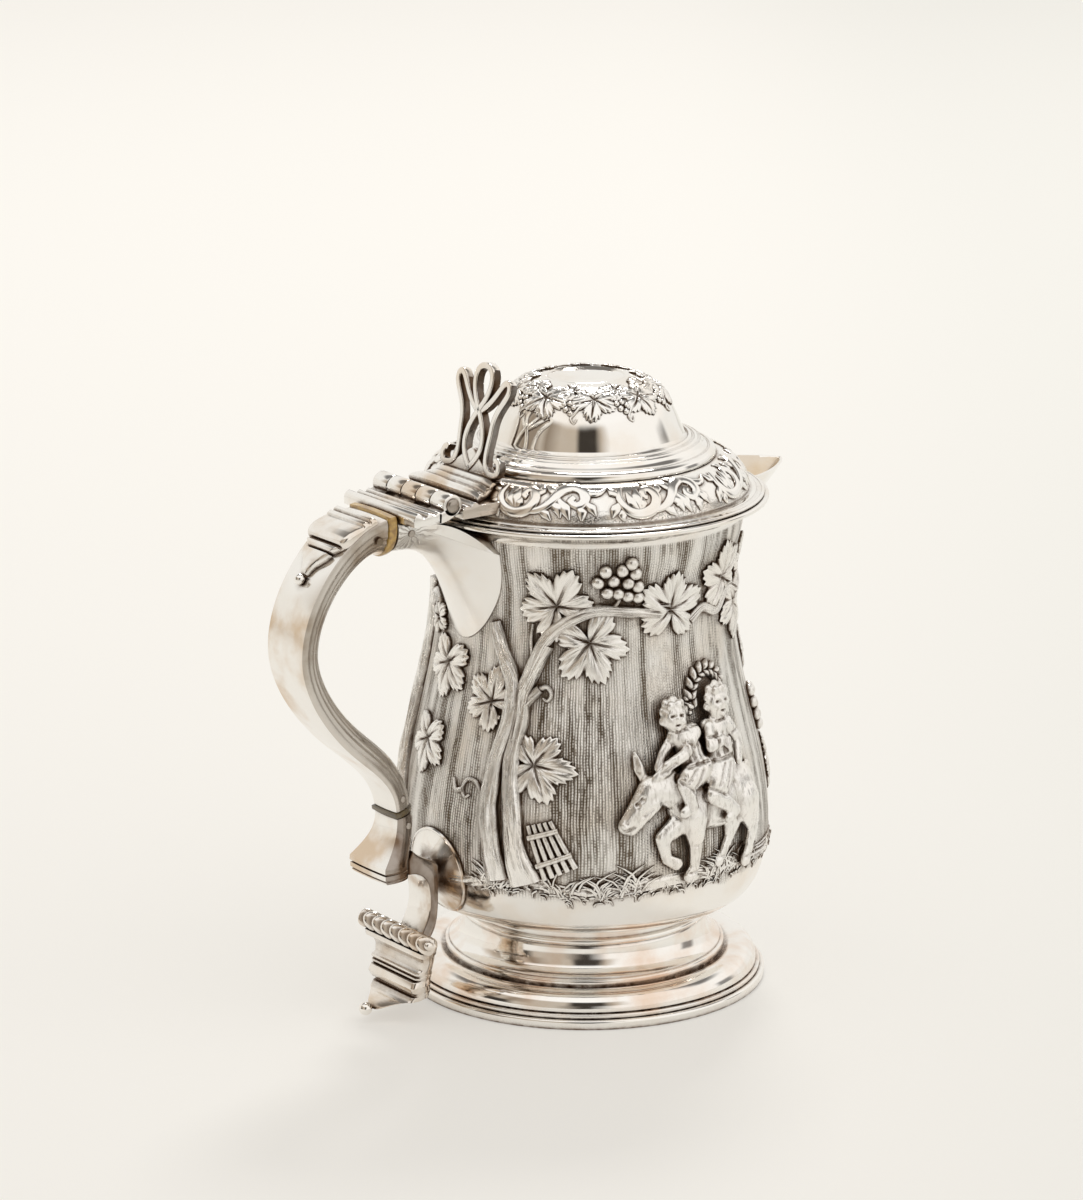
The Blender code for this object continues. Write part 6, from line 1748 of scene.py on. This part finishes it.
garland_shapes.append(stem(on_dome, vine_path, (1.5, 1.3, 1.6, 1.4), (0.9, 0.8), 0.0, 6, 1.2))
finished("dome_garland", gathered(garland_shapes), scroll_silver, "lid", sharp=60.0)


# The hinge: two cast leaves with reeds across them and five knuckles between them on one steel-hard
# silver pin, whose ends are riveted into domes. One leaf is soldered to the socket, one to the lid.
HINGE_X = -66.8
HINGE_Z = 173.7
HINGE_LENGTH = 40.0
KNUCKLES = 5
KNUCKLE_RADIUS = 3.5
KNUCKLE_GAP = 0.3
LEAF_THICKNESS = 3.4
HANDLE_LEAF_LENGTH = 14.6
LID_LEAF_LENGTH = 20.0
PIN_HEAD_RADIUS = 2.4
END_SHADE = (0.46, 0.38, 0.3, 1.0)
leaf_half = HINGE_LENGTH / 2 - KNUCKLE_GAP / 2
leaf_top = leaf_bottom + LEAF_THICKNESS


def reed(x_low, x_high, foot, rise, steps=6):
    """A half-round reed across a leaf, drawn from its far edge back to its near edge."""
    return [(blend(x_high, x_low, step / steps), foot + rise * math.sin(math.pi * step / steps) ** 0.7)
            for step in range(steps + 1)]


def edged(shape, offset, angle=30.0):
    """Rub the sharp edges of a shape round."""
    sharp = [edge for edge in shape.edges if len(edge.link_faces) == 2
             and edge.calc_face_angle(0.0) > math.radians(angle)]
    bmesh.ops.bevel(shape, geom=sharp, offset=offset, segments=2, affect="EDGES", profile=0.5, material=-1)
    return shape


def knuckle(index, arm_x):
    """One knuckle of the barrel with the arm that joins it to its leaf."""
    pitch = HINGE_LENGTH / KNUCKLES
    low = -HINGE_LENGTH / 2 + index * pitch + KNUCKLE_GAP / 2
    high = low + pitch - KNUCKLE_GAP
    barrel = rod((HINGE_X, (low + high) / 2, HINGE_Z), KNUCKLE_RADIUS, high - low, 48)
    side = math.copysign(1.0, HINGE_X - arm_x)
    cheek = bezier((arm_x, leaf_bottom), (HINGE_X - 1.5 * side, leaf_bottom),
                   (HINGE_X + 2.0 * side, HINGE_Z - 3.4),
                   (HINGE_X + 0.9 * KNUCKLE_RADIUS * side, HINGE_Z - 0.8), 8)
    arm = slab(cheek + [(HINGE_X, HINGE_Z), (arm_x, leaf_top - 0.2)], low, high)
    return [edged(barrel, 0.22), edged(arm, 0.15)]


hinge_silver = silver_finish("hinge_silver", 0.12, 0.9, 2.4, 1.5, 0.94, HAND_TARNISH)
leaf_right = HINGE_X - KNUCKLE_RADIUS - 0.6
leaf_left = leaf_right - 0.72 * HANDLE_LEAF_LENGTH
leaf_run = leaf_right - leaf_left
leaf_line = [(leaf_left, leaf_bottom), (leaf_right, leaf_bottom), (leaf_right, leaf_top - 0.5)]
for near, far, foot, rise in ((0.8, 1.0, 0.5, 0.9), (0.47, 0.66, 0.5, 0.9), (0.0, 0.34, 1.0, 2.0)):
    leaf_line += reed(leaf_left + near * leaf_run, leaf_left + far * leaf_run, leaf_top - foot, rise, 10)
handle_leaf = [edged(slab(leaf_line, -leaf_half, leaf_half), 0.2, 60.0)]
for index in range(0, KNUCKLES, 2):
    handle_leaf += knuckle(index, leaf_right - 1.0)
finished("handle_leaf", gathered(handle_leaf), hinge_silver, "tankard", "handle_hinge_leaf")

leaf_left = HINGE_X + KNUCKLE_RADIUS + 0.6
leaf_right = leaf_left + LID_LEAF_LENGTH
leaf_line = [(leaf_left, leaf_bottom), (leaf_right, leaf_bottom), (leaf_right, leaf_top + 0.4)]
leaf_line += reed(leaf_left + 3.4, leaf_left + 6.2, leaf_top + 0.5, 1.0)
leaf_line += reed(leaf_left + 0.4, leaf_left + 3.0, leaf_top, 0.9) + [(leaf_left, leaf_top)]
brim_room = [(0.0, lid_seat - 6.0), (rim_radius + 0.4, lid_seat - 6.0), (BRIM_RADIUS + 0.6, lid_seat + 1.0),
             (BAND_RADIUS + 0.2, band_base)] + [(radius - 0.4, height) for radius, height in band_line()[1:]]
brim_room += [(0.0, band_top)]
lid_leaf = [sawn(edged(slab(leaf_line, -leaf_half, leaf_half), 0.2, 60.0), spun(brim_room, False))]
for index in range(1, KNUCKLES, 2):
    lid_leaf += knuckle(index, leaf_left + 1.0)
lid_leaf_piece = finished("lid_leaf", gathered(lid_leaf), hinge_silver, "lid", "lid_hinge_leaf")
# Painted shade: the lid leaf's end faces get a darker copy of its finish.
refinished(lid_leaf_piece, silver_finish("shaded_end", 0.16, 0.5, 3.0, 1.5, 0.96, END_SHADE, 0.7),
           lambda face: abs(face.normal.y) > 0.8)

pin_ends = []
for side in (-1, 1):
    rivet = bmesh.new()
    start = HINGE_LENGTH / 2 + 0.05
    bmesh.ops.create_uvsphere(rivet, u_segments=32, v_segments=16, radius=PIN_HEAD_RADIUS)
    bmesh.ops.scale(rivet, vec=(1.0, 0.5, 1.0), verts=rivet.verts)
    bmesh.ops.translate(rivet, vec=(HINGE_X, side * start, HINGE_Z), verts=rivet.verts)
    pin_ends.append(rivet)
finished("hinge_rivets", gathered(pin_ends), pin_silver, "tankard", "hinge_pin", slot="pin_silver")


# The thumbpiece: pierced scrollwork cast in one, two crossed straps between two outer scrolls, on a
# hollowed pad that sweeps up from the hinge leaf. The sides of the straps carry painted shade.
THUMB_HEIGHT = 33.6
THUMB_HALF_WIDTH = 14.6
THUMB_LEAN = math.radians(12.4)
THUMB_STRAP = 2.2
STRAP_FLANK_SHADE = (0.085, 0.065, 0.05, 1.0)
PAD_THICKNESS = 3.0
PAD_STEPS = 36
PAD_REEDS = 3
PAD_REED_RISE = 1.1
pad_foot = (HINGE_X + KNUCKLE_RADIUS + 6.6, leaf_top + 1.9 + 1.3)
pad_top = (pad_foot[0] + 10.0, pad_foot[1] + 2.4)
pad_base = bezier(pad_foot, (pad_foot[0] + 5.0, pad_foot[1] + 0.2),
                  (pad_top[0] - 2.5, pad_top[1] - 1.6), pad_top, PAD_STEPS)
pad_back = shifted(pad_base, -PAD_THICKNESS)
pad_rings = []
for index, (low_point, (back_x, back_z)) in enumerate(zip(pad_base, pad_back)):
    share = index / PAD_STEPS
    wide = blend(HINGE_LENGTH / 2 - 0.8, THUMB_HALF_WIDTH, math.sin(math.pi / 2 * share))
    x = low_point[0]
    z = low_point[1] + PAD_REED_RISE * abs(math.sin(math.pi * PAD_REEDS * share)) ** 0.6
    ring = [(x, wide * step / 8, z - 0.8 * abs(step / 8) ** 8) for step in range(-8, 9)]
    ring += [(blend(x, back_x, 0.4), wide, blend(z, back_z, 0.4)), (back_x, wide * 0.94, back_z),
             (back_x, -wide * 0.94, back_z), (blend(x, back_x, 0.4), -wide, blend(z, back_z, 0.4))]
    pad_rings.append(ring)
pad_room = brim_room[:2] + [(radius - 0.3, height) for radius, height in band_line()] + [(0.0, band_top)]
finished("thumb_pad", sawn(skinned(pad_rings), spun(pad_room, False)), hinge_silver, "lid", "thumbpiece_pad")
thumb_stand = Matrix.Translation((pad_top[0] + PAD_THICKNESS * 0.35, 0.0, pad_top[1] + 0.1))
thumb_stand = thumb_stand @ Matrix.Rotation(THUMB_LEAN, 4, "Y")


def thumb_strap(line, depth):
    """A strap with rounded edges along a line in the thumbpiece's own plane, set up on the pad."""
    half = THUMB_STRAP / 2
    rings = []
    path = [Vector(point) for point in line]
    for place, along in zip(path, directions(path)):
        across = Vector((-along.y, along.x))
        ring = []
        for step in range(16):
            turn = math.tau * (step + 0.5) / 16
            wide = signed_power(math.cos(turn), 0.35) * half
            deep = signed_power(math.sin(turn), 0.3) * depth / 2
            spot = place + across * wide
            ring.append((deep, spot.x, spot.y))
        rings.append(ring)
    shape = skinned(rings)
    bmesh.ops.transform(shape, matrix=thumb_stand, verts=shape.verts)
    return shape


wide, tall, base = THUMB_HALF_WIDTH, THUMB_HEIGHT, THUMB_STRAP / 2


def strap_line(start, *runs):
    """A line of Bezier runs, across in shares of the thumbpiece's half width and up in millimetres."""
    wide_runs = [[(across * wide, up) for across, up in points] + [steps] for *points, steps in runs]
    return chained((start[0] * wide, start[1]), *wide_runs)


inner_strap = strap_line(
    (0.0, 1.03 * tall), ((0.36, 1.03 * tall), (0.42, 0.84 * tall), (0.06, 0.64 * tall), 18),
    ((-0.25, 0.46 * tall), (-0.6, 0.26 * tall), (0.04, base), 18))
outer_strap = strap_line(
    (0.86, 0.17 * tall), ((1.06, 0.22 * tall), (1.14, base), (0.86, base), 14),
    ((0.36, base + 0.3), (0.56, 0.3 * tall), (0.56, 0.45 * tall), 16),
    ((0.56, 0.68 * tall), (1.06, 0.78 * tall), (0.93, 0.9 * tall), 16),
    ((0.72, tall), (0.6, 0.72 * tall), (0.06, 0.6 * tall), 16))
thumb_silver = silver_finish("thumb_silver", 0.12, 0.5, 6.0, 2.3, 1.0)
web_line = strap_line((-0.95, base), ((-0.5, base + 0.4), (-0.25, 0.2 * tall), (0.0, 0.24 * tall), 10))
web_line += [(-across, up) for across, up in reversed(web_line[:-1])]
web_rings = [[(depth, across, up) for across, up in web_line + [(0.8 * wide, -1.4), (-0.8 * wide, -1.4)]]
             for depth in (-1.2, 1.2)]
web_shape = edged(skinned(web_rings), 0.25)
bmesh.ops.transform(web_shape, matrix=thumb_stand, verts=web_shape.verts)
thumb_straps = [web_shape]
mirrored_outer = [(-across, up) for across, up in outer_strap]
crossed_strap = [(-across, up) for across, up in reversed(inner_strap)] + inner_strap[1:]
for line, depth in ((crossed_strap, 3.2), (outer_strap, 3.0), (mirrored_outer, 2.8)):
    thumb_straps.append(thumb_strap(line, depth))
thumbpiece = finished("pierced_thumbpiece", gathered(thumb_straps), thumb_silver, "lid", "thumbpiece")
facing = Vector((math.cos(THUMB_LEAN), 0.0, -math.sin(THUMB_LEAN)))
# Painted shade: the straps' sides, which neither face the front nor look up, get a dark brown copy of the
# finish.
refinished(thumbpiece, silver_finish("strap_sides", 0.16, 0.4, 6.0, 1.6, 1.0, STRAP_FLANK_SHADE, 0.8),
           lambda face: abs(face.normal.dot(facing)) < 0.5 and face.normal.z < 0.6)
